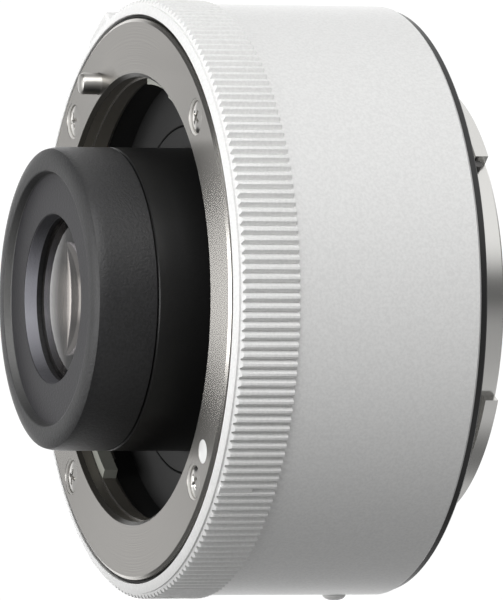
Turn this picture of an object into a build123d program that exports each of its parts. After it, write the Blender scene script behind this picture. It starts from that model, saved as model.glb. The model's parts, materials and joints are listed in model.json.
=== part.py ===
from build123d import *
import os
from math import cos, radians, sin, sqrt

# Camera teleconverter that fits between a camera body and a telephoto lens.
# All sizes are millimetres and all angles degrees.
# +Z is the optical axis and points at the subject. The origin is the centre of the
# camera flange, so everything that enters the camera lies below z = 0.
# Angles run anticlockwise from +X, seen from the subject's side.

# Lens mount: the interface that both ends share
flange_distance = 28.1
throat_radius = 23.05
throat_chamfer = 0.42
throat_step = 0.15
plate_land = 6.2
plate_thickness = 3.0
plate_chamfer = 0.25
tab_reach = 1.15
tab_setback = 1.52
tab_spans = [(-57.0, -17.0), (86.0, 145.0), (-156.5, -111.5)]
tab_lead_reach = 0.65
tab_lead_span = (-18.0, 0.0)
lug_spans = [(-49.0, 1.0), (93.5, 129.5), (-162.7, -116.7)]
lug_clearance = 0.15
lug_setback = 3.45
lug_thickness = 1.4
tube_clearance = 0.15
tube_wall = 1.4
tube_length = 5.0
tube_chamfer = 0.2

# Clearances that the pieces are made with
fit = 0.05
cement = 0.02
overrun = 2.0

# Painted outer shells
shell_wall = 1.5
shell_chamfer = 0.25
knurl_proud = 0.35
knurl_depth = 0.5
knurl_ribs = 196
knurl_land_share = 0.34
grip_length = 7.0
grip_rim = 1.1
grip_rim_step = 0.55
grip_rim_radius = 0.35
groove_width = 0.4
groove_depth = 1.15
groove_ring_height = 0.6
filled_groove_angle = 231.0
filled_groove_length = 3.6

# Front mount plate
front_screw_angles = [45.0, 135.0, 225.0, 315.0]
screw_head_radius = 1.7
screw_head_rim = 0.3
screw_hole_margin = 0.15
screw_shank_radius = 0.95
screw_length = 6.6
screw_sink = 0.05
recess_length = 1.9
recess_width = 0.5
recess_depth = 0.65
dot_radius = 1.25
dot_depth = 0.4
dot_angle = 234.0
leaf_sheet = 0.3
leaf_end_gap = 5.0

# Black chamber behind the front mount
well_gap = 0.15
well_wall = 0.6
well_flange = 0.8
floor_depth = 5.9
floor_thickness = 1.2
floor_gap = 0.1
window_gap_angle = 0.1

# Main frame
frame_wall = 1.7
web_thickness = 2.6
rear_ring_height = 2.8
rear_ledge_width = 0.9
spring_boss_floor = 1.6
spring_room = 6.8
post_angles = [50.0, 170.0, 290.0]
post_radius = 1.6
post_inset = 1.8
post_height = 3.4

# Camera-side mount
rear_flange_thickness = 2.2
rear_flange_inset = 0.85
rear_screw_angles = [-90.0, 0.0, 90.0, 180.0]
rear_screw_inset = 3.1
rear_screw_length = 4.6
lock_hole_radius = 1.35
lock_hole_depth = 2.05
mated_angle = 7.5
shim_thickness = 0.2
stop_pin_radius = 0.45
stop_pin_proud = 0.75
stop_pin_lag_angle = 1.7

# Black ring under the rear edge of the white barrel
trim_inset = 0.35
trim_setback = 0.3
trim_height = 0.75

# White index bead on the barrel
bead_radius = 1.25
bead_proud = 0.65
bead_angle = 180.0
bead_height = 5.5

# Contacts
contact_count = 10
contact_pitch_angle = 6.1
contact_angle = 90.0
contact_block_end_angle = 4.5
contact_block_width = 1.85
contact_margin = 0.15
contact_rise = 1.1
pin_radius = 0.4
pin_tip_margin = 0.1
pin_nose_share = 0.7
pin_length = 2.7
pin_travel = 0.8
pin_spring_wall = 0.1
block_floor = 0.35
pad_length = 1.35
pad_width = 1.2
pad_thickness = 0.15
pad_setback = 0.4
rear_block_height = 3.0

# Circuit
board_bore_gap = 0.5
board_rim_gap = 0.8
board_thickness = 1.0
flex_thickness = 0.15
flex_half_angle = 9.0
flex_tab = 1.5
board_screw_head = 1.3
board_screw_height = 0.8
board_screw_shank = 0.6
board_screw_length = 3.2
chip_sizes = [(5.0, 5.0, 0.9), (4.0, 3.0, 0.8), (3.0, 2.0, 0.6)]
chip_angles = [-60.0, 200.0, 235.0]

# Lens release: lever, bracket and lock pin slide together
lever_angle = 30.7
lever_width = 6.0
lever_setback = 2.0
lever_length = 6.7
lever_thickness = 2.0
lever_lift = 0.3
lever_corner = 0.6
lever_stem_width = 4.4
lever_stem_height = 1.6
stem_margin = 0.6
release_travel = 2.1
slot_margin = 0.25
bracket_half_angle = 8.0
lock_pin_radius = 1.135
lock_pin_margin = 0.115
lock_pin_proud = 2.1
lock_pin_chamfer = 0.3
lock_pin_neck = 0.75
lock_pin_tail = 7.8
lock_pin_lag_angle = 5.1
spring_mean_radius = 1.05
spring_wire = 0.15
spring_turns = 6
spring_hole_margin = 0.15

# Lens barrel and front cap
front_reach = 9.6
barrel_flange_gap = 0.25
barrel_flange_width = 2.3
barrel_screw_angles = [-30.0, 90.0, 210.0]
barrel_screw_head = 1.05
barrel_screw_height = 0.7
barrel_screw_shank = 0.6
barrel_screw_bite = 0.9
seam_chamfer = 0.18
cap_length = 6.5
cap_nose_radius = 1.5
cap_rim_width = 2.55
cap_rim_height = 0.8
cap_rim_taper = 0.25
bezel_drop = 0.74
opening_overlap = 0.4
opening_taper = 0.15
opening_depth = 1.31
lip_width = 0.6
lip_depth = 2.9
spigot_wall = 1.4
shoulder_height = 1.2
shoulder_width = 0.8
retainer_height = 1.2
retainer_width = 1.1
spacer_width = 0.9

# Optical elements, from the subject to the camera. A bulge is how far a surface's
# middle stands out of its edge, and a dish is how far it lies in.
front_lens_wall = 6.6
middle_lens_wall = 5.2
third_lens_wall = 4.4
rear_lens_wall = 2.6
lens_1_edge = 1.3
lens_1_front_bulge = 1.25
lens_1_rear_bulge = 0.4
front_spacer_length = 0.5
lens_2_edge = 3.0
lens_2_front_dish = 0.9
lens_3_front_bulge = 1.1
lens_3_edge = 0.7
lens_3_rear_bulge = 0.9
lens_4_edge = 2.2
lens_4_rear_dish = 0.3
lens_5_edge = 1.0
lens_5_front_bulge = 1.1
lens_5_rear_bulge = 1.3
lens_6_edge = 2.6
lens_6_rear_dish = 0.5
middle_spacer_length = 4.6
lens_7_edge = 3.2
lens_7_front_dish = 1.0
lens_7_rear_dish = 1.2
lens_8_edge = 2.0
lens_8_front_bulge = 2.2
lens_8_rear_bulge = 1.0
rear_lens_height = 0.4

# Rear cover: the black baffle inside the camera-side tube
cover_overlap = 0.4
cover_plate = 0.8
cover_setback = 0.5
cover_wall = 0.75
cover_lip_width = 0.35
cover_lip_height = 0.8

# Levels along the axis, worked out from the sizes above
plate_top = flange_distance
plate_back = plate_top - plate_thickness
leaf_back = plate_back - leaf_sheet
frame_top = leaf_back - well_flange
floor_top = plate_top - floor_depth
web_top = floor_top - floor_thickness
web_back = web_top - web_thickness
grip_back = plate_top - grip_length
shim_top = rear_flange_thickness + shim_thickness
frame_back = shim_top
cap_tip = plate_top + front_reach
seam = cap_tip - cap_length
shell_back = trim_setback + trim_height

# Radii worked out from the sizes above
plate_radius = throat_radius + plate_land
tab_radius = throat_radius - tab_reach
lug_radius = throat_radius - lug_clearance
tube_outer = tab_radius - tube_clearance
tube_inner = tube_outer - tube_wall
frame_radius = plate_radius + fit
ring_bore = frame_radius + fit
body_radius = ring_bore + shell_wall
trim_radius = body_radius - trim_inset
knurl_crest = body_radius + knurl_proud
knurl_root = knurl_crest - knurl_depth
rear_flange_radius = plate_radius - rear_flange_inset
rear_screw_orbit = rear_flange_radius - rear_screw_inset
cover_lip_radius = tube_outer + cover_lip_width
rear_ledge_bore = cover_lip_radius - rear_ledge_width
well_radius = throat_radius + well_gap
well_outer = well_radius + well_wall
ledge_radius = well_outer + 2 * fit
lock_pin_orbit = well_outer + lock_pin_margin + lock_pin_radius
front_screw_orbit = (well_outer + plate_radius) / 2
contact_outer = tube_inner - contact_margin
contact_inner = contact_outer - contact_block_width
contact_orbit = (contact_outer + contact_inner) / 2
barrel_flange_radius = contact_inner - barrel_flange_gap
barrel_radius = barrel_flange_radius - barrel_flange_width
floor_radius = barrel_flange_radius + floor_gap
board_inner = barrel_flange_radius + board_bore_gap
board_outer = frame_radius - frame_wall - board_rim_gap
post_orbit = board_outer - post_inset
front_lens_radius = barrel_radius - front_lens_wall
middle_lens_radius = barrel_radius - middle_lens_wall
third_lens_radius = barrel_radius - third_lens_wall
rear_lens_radius = barrel_radius - rear_lens_wall
opening_radius = front_lens_radius - opening_overlap
cover_opening = rear_lens_radius - cover_overlap
contact_half_angle = (contact_count - 1) * contact_pitch_angle / 2 + contact_block_end_angle


def polar(radius, angle, height=0.0):
    """A point at a radius, an angle and a height."""
    return (radius * cos(radians(angle)), radius * sin(radians(angle)), height)


def disc(radius, bottom, top, at=(0, 0)):
    """A plain cylinder on an axis parallel to Z."""
    return extrude(Pos(at[0], at[1], bottom) * Circle(radius), top - bottom)


def ring(inner, outer, bottom, top):
    return disc(outer, bottom, top) - disc(inner, bottom - overrun, top + overrun)


def turned(*outline):
    """A solid of revolution from (radius, height) corners."""
    corners = [(radius, 0, height) for radius, height in outline]
    return revolve(make_face(Polyline(*corners, close=True)), Axis.Z)


def arc_block(inner, outer, bottom, top, start, end):
    """A stretch of a ring between two angles."""
    outline = [
        CenterArc((0, 0, 0), outer, start, end - start),
        Line(polar(outer, end), polar(inner, end)),
        CenterArc((0, 0, 0), inner, start, end - start),
        Line(polar(inner, start), polar(outer, start)),
    ]
    return extrude(Pos(0, 0, bottom) * make_face(outline), top - bottom)


def radial_box(near, far, half_width, bottom, top, angle):
    """A box that points away from the axis at an angle."""
    box = Box(far - near, 2 * half_width, top - bottom)
    return Rot(0, 0, angle) * Pos((near + far) / 2, 0, (bottom + top) / 2) * box


def radial_rod(near, far, radius, height, angle):
    """A cylinder whose axis points away from the optical axis."""
    rod = Rot(0, 90, 0) * Cylinder(radius, far - near)
    return Rot(0, 0, angle) * Pos((near + far) / 2, 0, height) * rod


def group(solids):
    return Compound([solid.solid() for solid in solids])


def countersunk_screw(orbit, angle, face, length, down=True):
    """A flat-head cross-recess screw whose head lies just under a face."""
    cone = screw_head_radius - screw_shank_radius
    screw = turned(
        (0, 0),
        (screw_head_radius, 0),
        (screw_head_radius, -screw_head_rim),
        (screw_shank_radius, -screw_head_rim - cone),
        (screw_shank_radius, -length),
        (0, -length),
    )
    for turn in (0, 90):
        slot = Box(recess_length, recess_width, 2 * recess_depth)
        screw -= Rot(0, 0, turn) * slot
    if not down:
        screw = Rot(180, 0, 0) * screw
    sink = -screw_sink if down else screw_sink
    return Pos(*polar(orbit, angle, face + sink)) * Rot(0, 0, angle) * screw


def countersunk_hole(orbit, angle, face, depth, down=True):
    """The hole that a countersunk screw lies in, with a margin all round."""
    mouth = screw_head_radius + screw_hole_margin
    shank = screw_shank_radius + fit
    rim = screw_sink + screw_head_rim
    hole = turned(
        (0, overrun),
        (mouth, overrun),
        (mouth, -rim),
        (shank, -rim - (mouth - shank)),
        (shank, -depth),
        (0, -depth),
    )
    if not down:
        hole = Rot(180, 0, 0) * hole
    return Pos(*polar(orbit, angle, face)) * hole


def cap_screw(orbit, angle, seat, head, height, shank, length, down=True):
    """A small screw with a round head that stands on a seat."""
    screw = turned((0, height), (head, height), (head, 0), (shank, 0), (shank, -length), (0, -length))
    screw -= Pos(0, 0, height) * Box(2 * head, height / 2, height)
    if not down:
        screw = Rot(180, 0, 0) * screw
    return Pos(*polar(orbit, angle, seat)) * screw


# Front mount plate, with the three tabs that a lens's lugs turn behind
def front_mount_plate():
    plate = turned(
        (throat_radius, plate_back),
        (plate_radius, plate_back),
        (plate_radius, plate_top - plate_chamfer),
        (plate_radius - plate_chamfer, plate_top),
        (throat_radius + throat_step + throat_chamfer, plate_top),
        (throat_radius + throat_step, plate_top - throat_chamfer),
        (throat_radius + throat_step, plate_top - tab_setback),
        (throat_radius, plate_top - tab_setback),
    )
    tabs = [(tab_radius, start, end) for start, end in tab_spans]
    tabs.append((throat_radius - tab_lead_reach, *tab_lead_span))
    for inner, start, end in tabs:
        root = throat_radius + throat_step
        plate += arc_block(inner, root, plate_back, plate_top - tab_setback, start, end)
    for angle in front_screw_angles:
        depth = plate_thickness + overrun
        plate -= countersunk_hole(front_screw_orbit, angle, plate_top, depth)
    dot_place = polar(front_screw_orbit, dot_angle)
    plate -= disc(dot_radius, plate_top - dot_depth, plate_top + overrun, dot_place)
    pin_place = polar(lock_pin_orbit, lever_angle - lock_pin_lag_angle)
    plate -= disc(lock_pin_radius + fit, plate_back - overrun, plate_top + overrun, pin_place)
    return plate


def front_mount_screws():
    return group(
        countersunk_screw(front_screw_orbit, angle, plate_top, screw_length)
        for angle in front_screw_angles
    )


def mount_index_dot():
    place = polar(front_screw_orbit, dot_angle)
    return disc(dot_radius - fit / 2, plate_top - dot_depth, plate_top, place)


# Sprung sheet ring that pulls the lens's flange against the plate
def bayonet_spring():
    sheet = ring(well_radius, ring_bore - frame_wall, leaf_back, plate_back)
    for start, end in tab_spans:
        first = start + leaf_end_gap
        last = end - leaf_end_gap
        sheet += arc_block(tab_radius + fit, well_radius + well_wall, leaf_back, plate_back, first, last)
    return sheet - front_clearance_holes(leaf_back, plate_back)


def front_clearance_holes(bottom, top):
    """Holes for the plate's screws and the lock pin through the sheets under it."""
    low = bottom - overrun
    high = top + overrun
    pin_place = polar(lock_pin_orbit, lever_angle - lock_pin_lag_angle)
    holes = disc(lock_pin_radius + fit, low, high, pin_place)
    for angle in front_screw_angles:
        holes += disc(screw_shank_radius + fit, low, high, polar(front_screw_orbit, angle))
    return holes


# Black moulded chamber that the lens's tube enters
def mount_well():
    well = turned(
        (floor_radius, web_top),
        (well_outer, web_top),
        (well_outer, frame_top),
        (ring_bore - frame_wall, frame_top),
        (ring_bore - frame_wall, leaf_back),
        (well_radius, leaf_back),
        (well_radius, floor_top),
        (floor_radius, floor_top),
    )
    well -= front_clearance_holes(frame_top, leaf_back)
    start = contact_angle - contact_half_angle - window_gap_angle
    end = contact_angle + contact_half_angle + window_gap_angle
    low = web_top - overrun
    high = floor_top + overrun
    near = floor_radius - overrun
    return well - arc_block(near, contact_outer + floor_gap, low, high, start, end)


# Chassis that joins the two mounts and carries the barrel, the board and the lever
def main_frame():
    frame = turned(
        (barrel_radius + fit, web_back),
        (frame_radius - frame_wall, web_back),
        (frame_radius - frame_wall, frame_back + rear_ring_height),
        (rear_ledge_bore, frame_back + rear_ring_height),
        (rear_ledge_bore, rear_flange_thickness + cover_lip_height + fit),
        (cover_lip_radius + fit, rear_flange_thickness + cover_lip_height + fit),
        (cover_lip_radius + fit, frame_back),
        (frame_radius, frame_back),
        (frame_radius, frame_top),
        (ledge_radius, frame_top),
        (ledge_radius, web_top),
        (barrel_radius + fit, web_top),
    )
    frame += spring_boss()
    for angle in post_angles:
        foot = frame_back + rear_ring_height
        frame += disc(post_radius, foot - fit, foot + post_height, polar(post_orbit, angle))
        low = foot + post_height - board_screw_length
        frame -= disc(board_screw_shank + fit, low, foot + post_height + overrun, polar(post_orbit, angle))
    for angle in front_screw_angles:
        low = plate_top - screw_length - 2 * screw_sink
        place = polar(front_screw_orbit, angle)
        frame -= disc(screw_shank_radius + fit, low, frame_top + overrun, place)
    for angle in rear_screw_angles:
        high = rear_screw_length + 2 * screw_sink
        place = polar(rear_screw_orbit, angle)
        frame -= disc(screw_shank_radius + fit, frame_back - overrun, high, place)
    for angle in barrel_screw_angles:
        place = polar(barrel_screw_orbit(), angle)
        frame -= disc(barrel_screw_shank + fit, web_back - overrun, web_top + overrun, place)
    return frame - release_pocket() - contact_window()


def spring_boss():
    """Block on the frame's wall that holds the lock pin's tail and its spring."""
    top = web_back + fit
    bottom = spring_seat() - spring_boss_floor
    inner = lock_pin_orbit - spring_hole_radius() - spring_boss_floor
    start = lock_pin_angle() - bracket_half_angle
    end = lock_pin_angle() + bracket_half_angle
    boss = arc_block(inner, frame_radius - fit, bottom, top, start, end)
    boss += arc_block(ledge_radius, frame_radius - fit, bottom, frame_top, start, end)
    return boss


def release_pocket():
    """Room for the bracket, the spring, the pin's tail and the lever's stem."""
    top, bottom = stem_levels()
    low = bottom - release_travel - slot_margin
    place = polar(lock_pin_orbit, lock_pin_angle())
    start = lock_pin_angle() - bracket_half_angle
    end = lever_angle + bracket_half_angle
    pocket = arc_block(ledge_radius - fit, bracket_outer() + fit, low, frame_top + overrun, start, end)
    pocket += radial_box(bracket_outer() - overrun, frame_radius + overrun, slot_half_width(),
                         low, top + slot_margin, lever_angle)
    pocket += disc(spring_hole_radius(), spring_seat(), low + overrun, place)
    pocket += disc(lock_pin_neck + fit, spring_seat() - 2 * overrun, low, place)
    return pocket


def contact_window():
    start = contact_angle - contact_half_angle - window_gap_angle
    end = contact_angle + contact_half_angle + window_gap_angle
    low = web_back - overrun
    high = web_top + overrun
    return arc_block(contact_inner - fit, contact_outer + fit, low, high, start, end)


def barrel_screw_orbit():
    return barrel_flange_radius - barrel_screw_head


def lock_pin_angle():
    return lever_angle - lock_pin_lag_angle


def stem_levels():
    """Top and bottom of the lever's stem and of the bracket, at rest."""
    top = frame_top - stem_margin
    return top, top - lever_stem_height


def spring_seat():
    """Level that the lock spring stands on."""
    return stem_levels()[1] - spring_room


def spring_hole_radius():
    return spring_mean_radius + spring_wire + spring_hole_margin


def slot_half_width():
    return lever_stem_width / 2 + slot_margin


def bracket_outer():
    return frame_radius - frame_wall


# White knurled grip ring round the front mount
def grip_ring():
    knurl_top = plate_top - grip_rim
    section = make_face(Polyline(*knurl_outline(), close=True)) - Circle(ring_bore)
    grip = extrude(Pos(0, 0, grip_back) * section, knurl_top - grip_back)
    mouth = plate_radius + groove_width + fit
    lip = knurl_root - grip_rim_step / 2
    grip += turned(
        (ring_bore, knurl_top),
        (knurl_root, knurl_top),
        (knurl_root, plate_top - grip_rim_step),
        (lip, plate_top - grip_rim_step),
        (lip, plate_top - grip_rim_radius),
        (lip - grip_rim_radius, plate_top),
        (ring_bore, plate_top),
    )
    grip -= disc(mouth, plate_top - groove_depth, plate_top + overrun)
    grip += filled_groove()
    return grip - lever_slot()


def knurl_outline():
    """Corners of the knurl: a flat crest and a V groove for each rib."""
    pitch = 360 / knurl_ribs
    land = pitch * knurl_land_share / 2
    corners = []
    for rib in range(knurl_ribs):
        centre = filled_groove_angle + pitch * (rib + 1 / 2)
        corners.append(polar(knurl_crest, centre - land))
        corners.append(polar(knurl_crest, centre + land))
        corners.append(polar(knurl_root, centre + pitch / 2))
    return corners


def filled_groove():
    """One groove is left uncut at its front end, in line with the index dot."""
    half = 360 / knurl_ribs / 2
    top = plate_top - grip_rim
    start = filled_groove_angle - half
    end = filled_groove_angle + half
    return arc_block(knurl_root - fit, knurl_crest - fit, top - filled_groove_length, top, start, end)


def lever_slot():
    top, bottom = stem_levels()
    low = bottom - release_travel - slot_margin
    return radial_box(ring_bore - overrun, knurl_crest + overrun, slot_half_width(),
                      low, top + slot_margin, lever_angle)


# Black ring at the bottom of the groove between the plate and the grip
def groove_ring():
    bottom = plate_top - groove_depth
    return ring(plate_radius + fit, plate_radius + groove_width, bottom, bottom + groove_ring_height)


# White painted barrel
def barrel_shell():
    shell = turned(
        (ring_bore, shell_back),
        (body_radius - shell_chamfer, shell_back),
        (body_radius, shell_back + shell_chamfer),
        (body_radius, grip_back),
        (ring_bore, grip_back),
    )
    shell -= radial_rod(ring_bore - overrun, body_radius + overrun, bead_radius + fit, bead_height, bead_angle)
    return shell - lever_slot()


def index_bead():
    bead = radial_rod(frame_radius + fit, body_radius, bead_radius, bead_height, bead_angle)
    ball_radius = (bead_radius ** 2 + bead_proud ** 2) / (2 * bead_proud)
    centre = body_radius + bead_proud - ball_radius
    dome = Pos(*polar(centre, bead_angle, bead_height)) * Sphere(ball_radius)
    shell_face = body_radius - fit
    keep = radial_box(shell_face, body_radius + 2 * bead_proud, 2 * bead_radius,
                      bead_height - 2 * bead_radius, bead_height + 2 * bead_radius, bead_angle)
    within = radial_rod(shell_face, body_radius + 2 * bead_proud, bead_radius, bead_height, bead_angle)
    return bead + (dome & keep & within)


def rear_trim_ring():
    return turned(
        (rear_flange_radius + fit, trim_setback),
        (trim_radius, trim_setback),
        (trim_radius, shell_back - fit),
        (frame_radius, shell_back - fit),
        (frame_radius, frame_back - fit),
        (rear_flange_radius + fit, frame_back - fit),
    )


# Camera-side mount: flange, tube and three lugs in one chromed piece
def rear_mount():
    mount = turned(
        (tube_inner, -tube_length),
        (tube_outer - tube_chamfer, -tube_length),
        (tube_outer, -tube_length + tube_chamfer),
        (tube_outer, 0),
        (rear_flange_radius, 0),
        (rear_flange_radius, rear_flange_thickness),
        (tube_inner, rear_flange_thickness),
    )
    lug_top = -lug_setback
    for start, end in lug_spans:
        root = tube_outer - tube_wall / 2
        mount += arc_block(root, lug_radius, lug_top - lug_thickness, lug_top, start, end)
    for angle in rear_screw_angles:
        depth = rear_flange_thickness + overrun
        mount -= countersunk_hole(rear_screw_orbit, angle, 0, depth, down=False)
    hole_place = polar(lock_pin_orbit, lock_pin_angle() + mated_angle)
    mount -= disc(lock_hole_radius, -overrun, lock_hole_depth, hole_place)
    stop_angle = lug_spans[0][0] - stop_pin_lag_angle
    stop_height = lug_top - lug_thickness / 2 + stop_pin_radius
    mount -= radial_rod(tube_inner - overrun, lug_radius + overrun, stop_pin_radius + fit,
                        stop_height, stop_angle)
    return mount


def bayonet_stop_pin():
    angle = lug_spans[0][0] - stop_pin_lag_angle
    height = -lug_setback - lug_thickness / 2 + stop_pin_radius
    return radial_rod(tube_inner + fit, tube_outer + stop_pin_proud, stop_pin_radius, height, angle)


def rear_mount_screws():
    return group(
        countersunk_screw(rear_screw_orbit, angle, 0, rear_screw_length, down=False)
        for angle in rear_screw_angles
    )


def rear_mount_shim():
    shim = ring(cover_lip_radius + fit, rear_flange_radius, rear_flange_thickness, shim_top)
    for angle in rear_screw_angles:
        place = polar(rear_screw_orbit, angle)
        shim -= disc(screw_shank_radius + fit, -overrun, shim_top + overrun, place)
    return shim


# Black baffle round the rear glass
def rear_cover():
    bottom = cover_setback - tube_length
    wall_outer = tube_inner - fit
    cover = turned(
        (cover_opening, bottom),
        (wall_outer, bottom),
        (wall_outer, rear_flange_thickness + fit),
        (cover_lip_radius, rear_flange_thickness + fit),
        (cover_lip_radius, rear_flange_thickness + cover_lip_height),
        (wall_outer - cover_wall, rear_flange_thickness + cover_lip_height),
        (wall_outer - cover_wall, bottom + cover_plate),
        (cover_opening + cover_plate, bottom + cover_plate),
    )
    centre = contact_angle + mated_angle
    start = centre - contact_half_angle - window_gap_angle
    end = centre + contact_half_angle + window_gap_angle
    high = bottom + rear_block_height + floor_gap
    near = contact_inner - floor_gap
    return cover - arc_block(near, tube_inner + overrun, bottom - overrun, high, start, end)


def rear_contact_block():
    centre = contact_angle + mated_angle
    bottom = rear_block_bottom()
    start = centre - contact_half_angle
    end = centre + contact_half_angle
    block = arc_block(contact_inner, contact_outer, bottom, bottom + rear_block_height, start, end)
    for angle in contact_angles(centre):
        block -= radial_box(contact_orbit - pad_length / 2 - fit, contact_orbit + pad_length / 2 + fit,
                            pad_width / 2 + fit, bottom - overrun, bottom + pad_thickness, angle)
    return block


def rear_block_bottom():
    return pad_setback - tube_length


def contact_angles(centre):
    first = centre - (contact_count - 1) * contact_pitch_angle / 2
    return [first + contact_pitch_angle * place for place in range(contact_count)]


def rear_contact_pads():
    bottom = rear_block_bottom()
    return group(
        radial_box(contact_orbit - pad_length / 2, contact_orbit + pad_length / 2, pad_width / 2,
                   bottom, bottom + pad_thickness, angle)
        for angle in contact_angles(contact_angle + mated_angle)
    )


# Front contacts: sprung pins in a block that stands in a window of the frame
def front_contact_block():
    bottom = web_back + floor_gap
    start = contact_angle - contact_half_angle
    end = contact_angle + contact_half_angle
    block = arc_block(contact_inner, contact_outer, bottom, floor_top + contact_rise, start, end)
    for angle in contact_angles(contact_angle):
        place = polar(contact_orbit, angle)
        block -= disc(pin_radius + fit, bottom + block_floor, floor_top + contact_rise + overrun, place)
    return block


def pin_levels():
    """Top and bottom of a pin at rest. It can be pressed almost flush with the block."""
    top = floor_top + contact_rise + pin_travel + pin_tip_margin
    return top, top - pin_length


def contact_pins():
    top, bottom = pin_levels()
    return group(
        disc(pin_radius, bottom, top - pin_radius / 2, polar(contact_orbit, angle))
        + disc(pin_radius * pin_nose_share, top - pin_radius, top, polar(contact_orbit, angle))
        for angle in contact_angles(contact_angle)
    )


def contact_pin_springs():
    top = pin_levels()[1] - fit
    seat = web_back + floor_gap + block_floor
    springs = []
    for angle in contact_angles(contact_angle):
        place = polar(contact_orbit, angle)
        tube = disc(pin_radius, seat, top, place)
        springs.append(tube - disc(pin_radius - pin_spring_wall, seat - fit, top + fit, place))
    return group(springs)


# Circuit board and its two flexible leads
def board_levels():
    bottom = frame_back + rear_ring_height + post_height
    return bottom, bottom + board_thickness


def circuit_board():
    bottom, top = board_levels()
    board = ring(board_inner, board_outer, bottom, top)
    for angle in post_angles:
        place = polar(post_orbit, angle)
        board -= disc(board_screw_shank + fit, bottom - overrun, top + overrun, place)
    return board


def board_chips():
    top = board_levels()[1]
    middle = (board_inner + board_outer) / 2
    return group(
        Rot(0, 0, angle) * Pos(middle, 0, top + size[2] / 2) * Box(*size)
        for angle, size in zip(chip_angles, chip_sizes)
    )


def board_screws():
    top = board_levels()[1]
    return group(
        cap_screw(post_orbit, angle, top, board_screw_head, board_screw_height,
                  board_screw_shank, board_screw_length)
        for angle in post_angles
    )


def front_flex():
    """Lead from under the front contact block down to the board."""
    start = contact_angle - flex_half_angle
    end = contact_angle + flex_half_angle
    block_bottom = web_back + floor_gap
    board_top = board_levels()[1]
    lead = arc_block(contact_inner, contact_outer, block_bottom - flex_thickness, block_bottom, start, end)
    lead += arc_block(contact_outer - flex_thickness, contact_outer, board_top, block_bottom, start, end)
    lead += arc_block(contact_outer - flex_thickness, contact_outer + flex_tab,
                      board_top, board_top + flex_thickness, start, end)
    return lead


def rear_flex():
    """Lead from the board's inner edge down to the rear contact block."""
    centre = contact_angle + mated_angle
    start = centre - flex_half_angle
    end = centre + flex_half_angle
    outer = board_inner - fit
    bottom = rear_block_bottom() + rear_block_height
    top = board_levels()[1]
    lead = arc_block(outer - flex_thickness, outer, bottom, top + flex_thickness, start, end)
    lead += arc_block(outer - flex_thickness, board_inner + flex_tab / 2, top, top + flex_thickness, start, end)
    return lead


# Lens release
def release_lever():
    """Finger piece outside the grip, with the stem that goes in through the slot."""
    top = plate_top - lever_setback
    near = knurl_crest + lever_lift
    cap = radial_box(near, near + lever_thickness, lever_width / 2, top - lever_length, top, lever_angle)
    cap = fillet(cap.edges().filter_by(Plane.XY, reverse=True).filter_by(Axis.Z), lever_corner)
    stem_top, stem_bottom = stem_levels()
    return cap + radial_box(stem_root(), near + fit, lever_stem_width / 2, stem_bottom, stem_top, lever_angle)


def stem_root():
    """Distance from the axis at which the stem meets the bracket."""
    return bracket_outer() - lever_stem_height / 2


def release_bracket():
    top, bottom = stem_levels()
    start = lock_pin_angle() - bracket_half_angle + 2 * slot_margin
    end = lever_angle + bracket_half_angle - 2 * slot_margin
    bracket = arc_block(ledge_radius + fit, bracket_outer() - fit, bottom, top, start, end)
    bracket -= radial_box(stem_root(), frame_radius + overrun, slot_half_width() + fit,
                          bottom - overrun, top + overrun, lever_angle)
    place = polar(lock_pin_orbit, lock_pin_angle())
    return bracket - disc(lock_pin_neck + fit, bottom - overrun, top + overrun, place)


def lock_pin():
    """Round-nosed pin that drops into the mounted lens's lock hole."""
    shoulder = stem_levels()[0]
    top = plate_top + lock_pin_proud
    pin = turned(
        (0, shoulder - lever_stem_height - lock_pin_tail),
        (lock_pin_neck, shoulder - lever_stem_height - lock_pin_tail),
        (lock_pin_neck, shoulder),
        (lock_pin_radius, shoulder),
        (lock_pin_radius, top - lock_pin_chamfer),
        (lock_pin_radius - lock_pin_chamfer, top),
        (0, top),
    )
    return Pos(*polar(lock_pin_orbit, lock_pin_angle())) * pin


def lock_spring():
    """Compression spring between the frame's boss and the bracket."""
    bottom = spring_seat() + spring_wire + fit
    height = spring_room - 2 * (spring_wire + fit)
    coil = Helix(height / spring_turns, height, spring_mean_radius)
    wire = Plane(coil @ 0, z_dir=coil % 0) * Circle(spring_wire)
    spring = sweep(wire, path=coil, is_frenet=True)
    return Pos(*polar(lock_pin_orbit, lock_pin_angle(), bottom)) * spring


# Optical elements
def surface_height(lens_radius, bulge, radius):
    """How far a spherical surface stands above its edge at a radius."""
    if bulge == 0:
        return 0
    ball = (lens_radius ** 2 + bulge ** 2) / (2 * abs(bulge))
    height = sqrt(ball ** 2 - radius ** 2) - sqrt(ball ** 2 - lens_radius ** 2)
    return height if bulge > 0 else -height


def lens(radius, front_edge, edge, front_bulge, rear_bulge):
    """A round lens from its edge's front level, edge thickness and two bulges."""
    rear_edge = front_edge - edge
    half = radius / 2
    front_half = surface_height(radius, front_bulge, half)
    rear_half = surface_height(radius, rear_bulge, half)
    outline = [
        ThreePointArc((0, 0, front_edge + front_bulge), (half, 0, front_edge + front_half),
                      (radius, 0, front_edge)),
        Line((radius, 0, front_edge), (radius, 0, rear_edge)),
        ThreePointArc((radius, 0, rear_edge), (half, 0, rear_edge - rear_half),
                      (0, 0, rear_edge - rear_bulge)),
        Line((0, 0, rear_edge - rear_bulge), (0, 0, front_edge + front_bulge)),
    ]
    return revolve(make_face(outline), Axis.Z)


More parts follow.
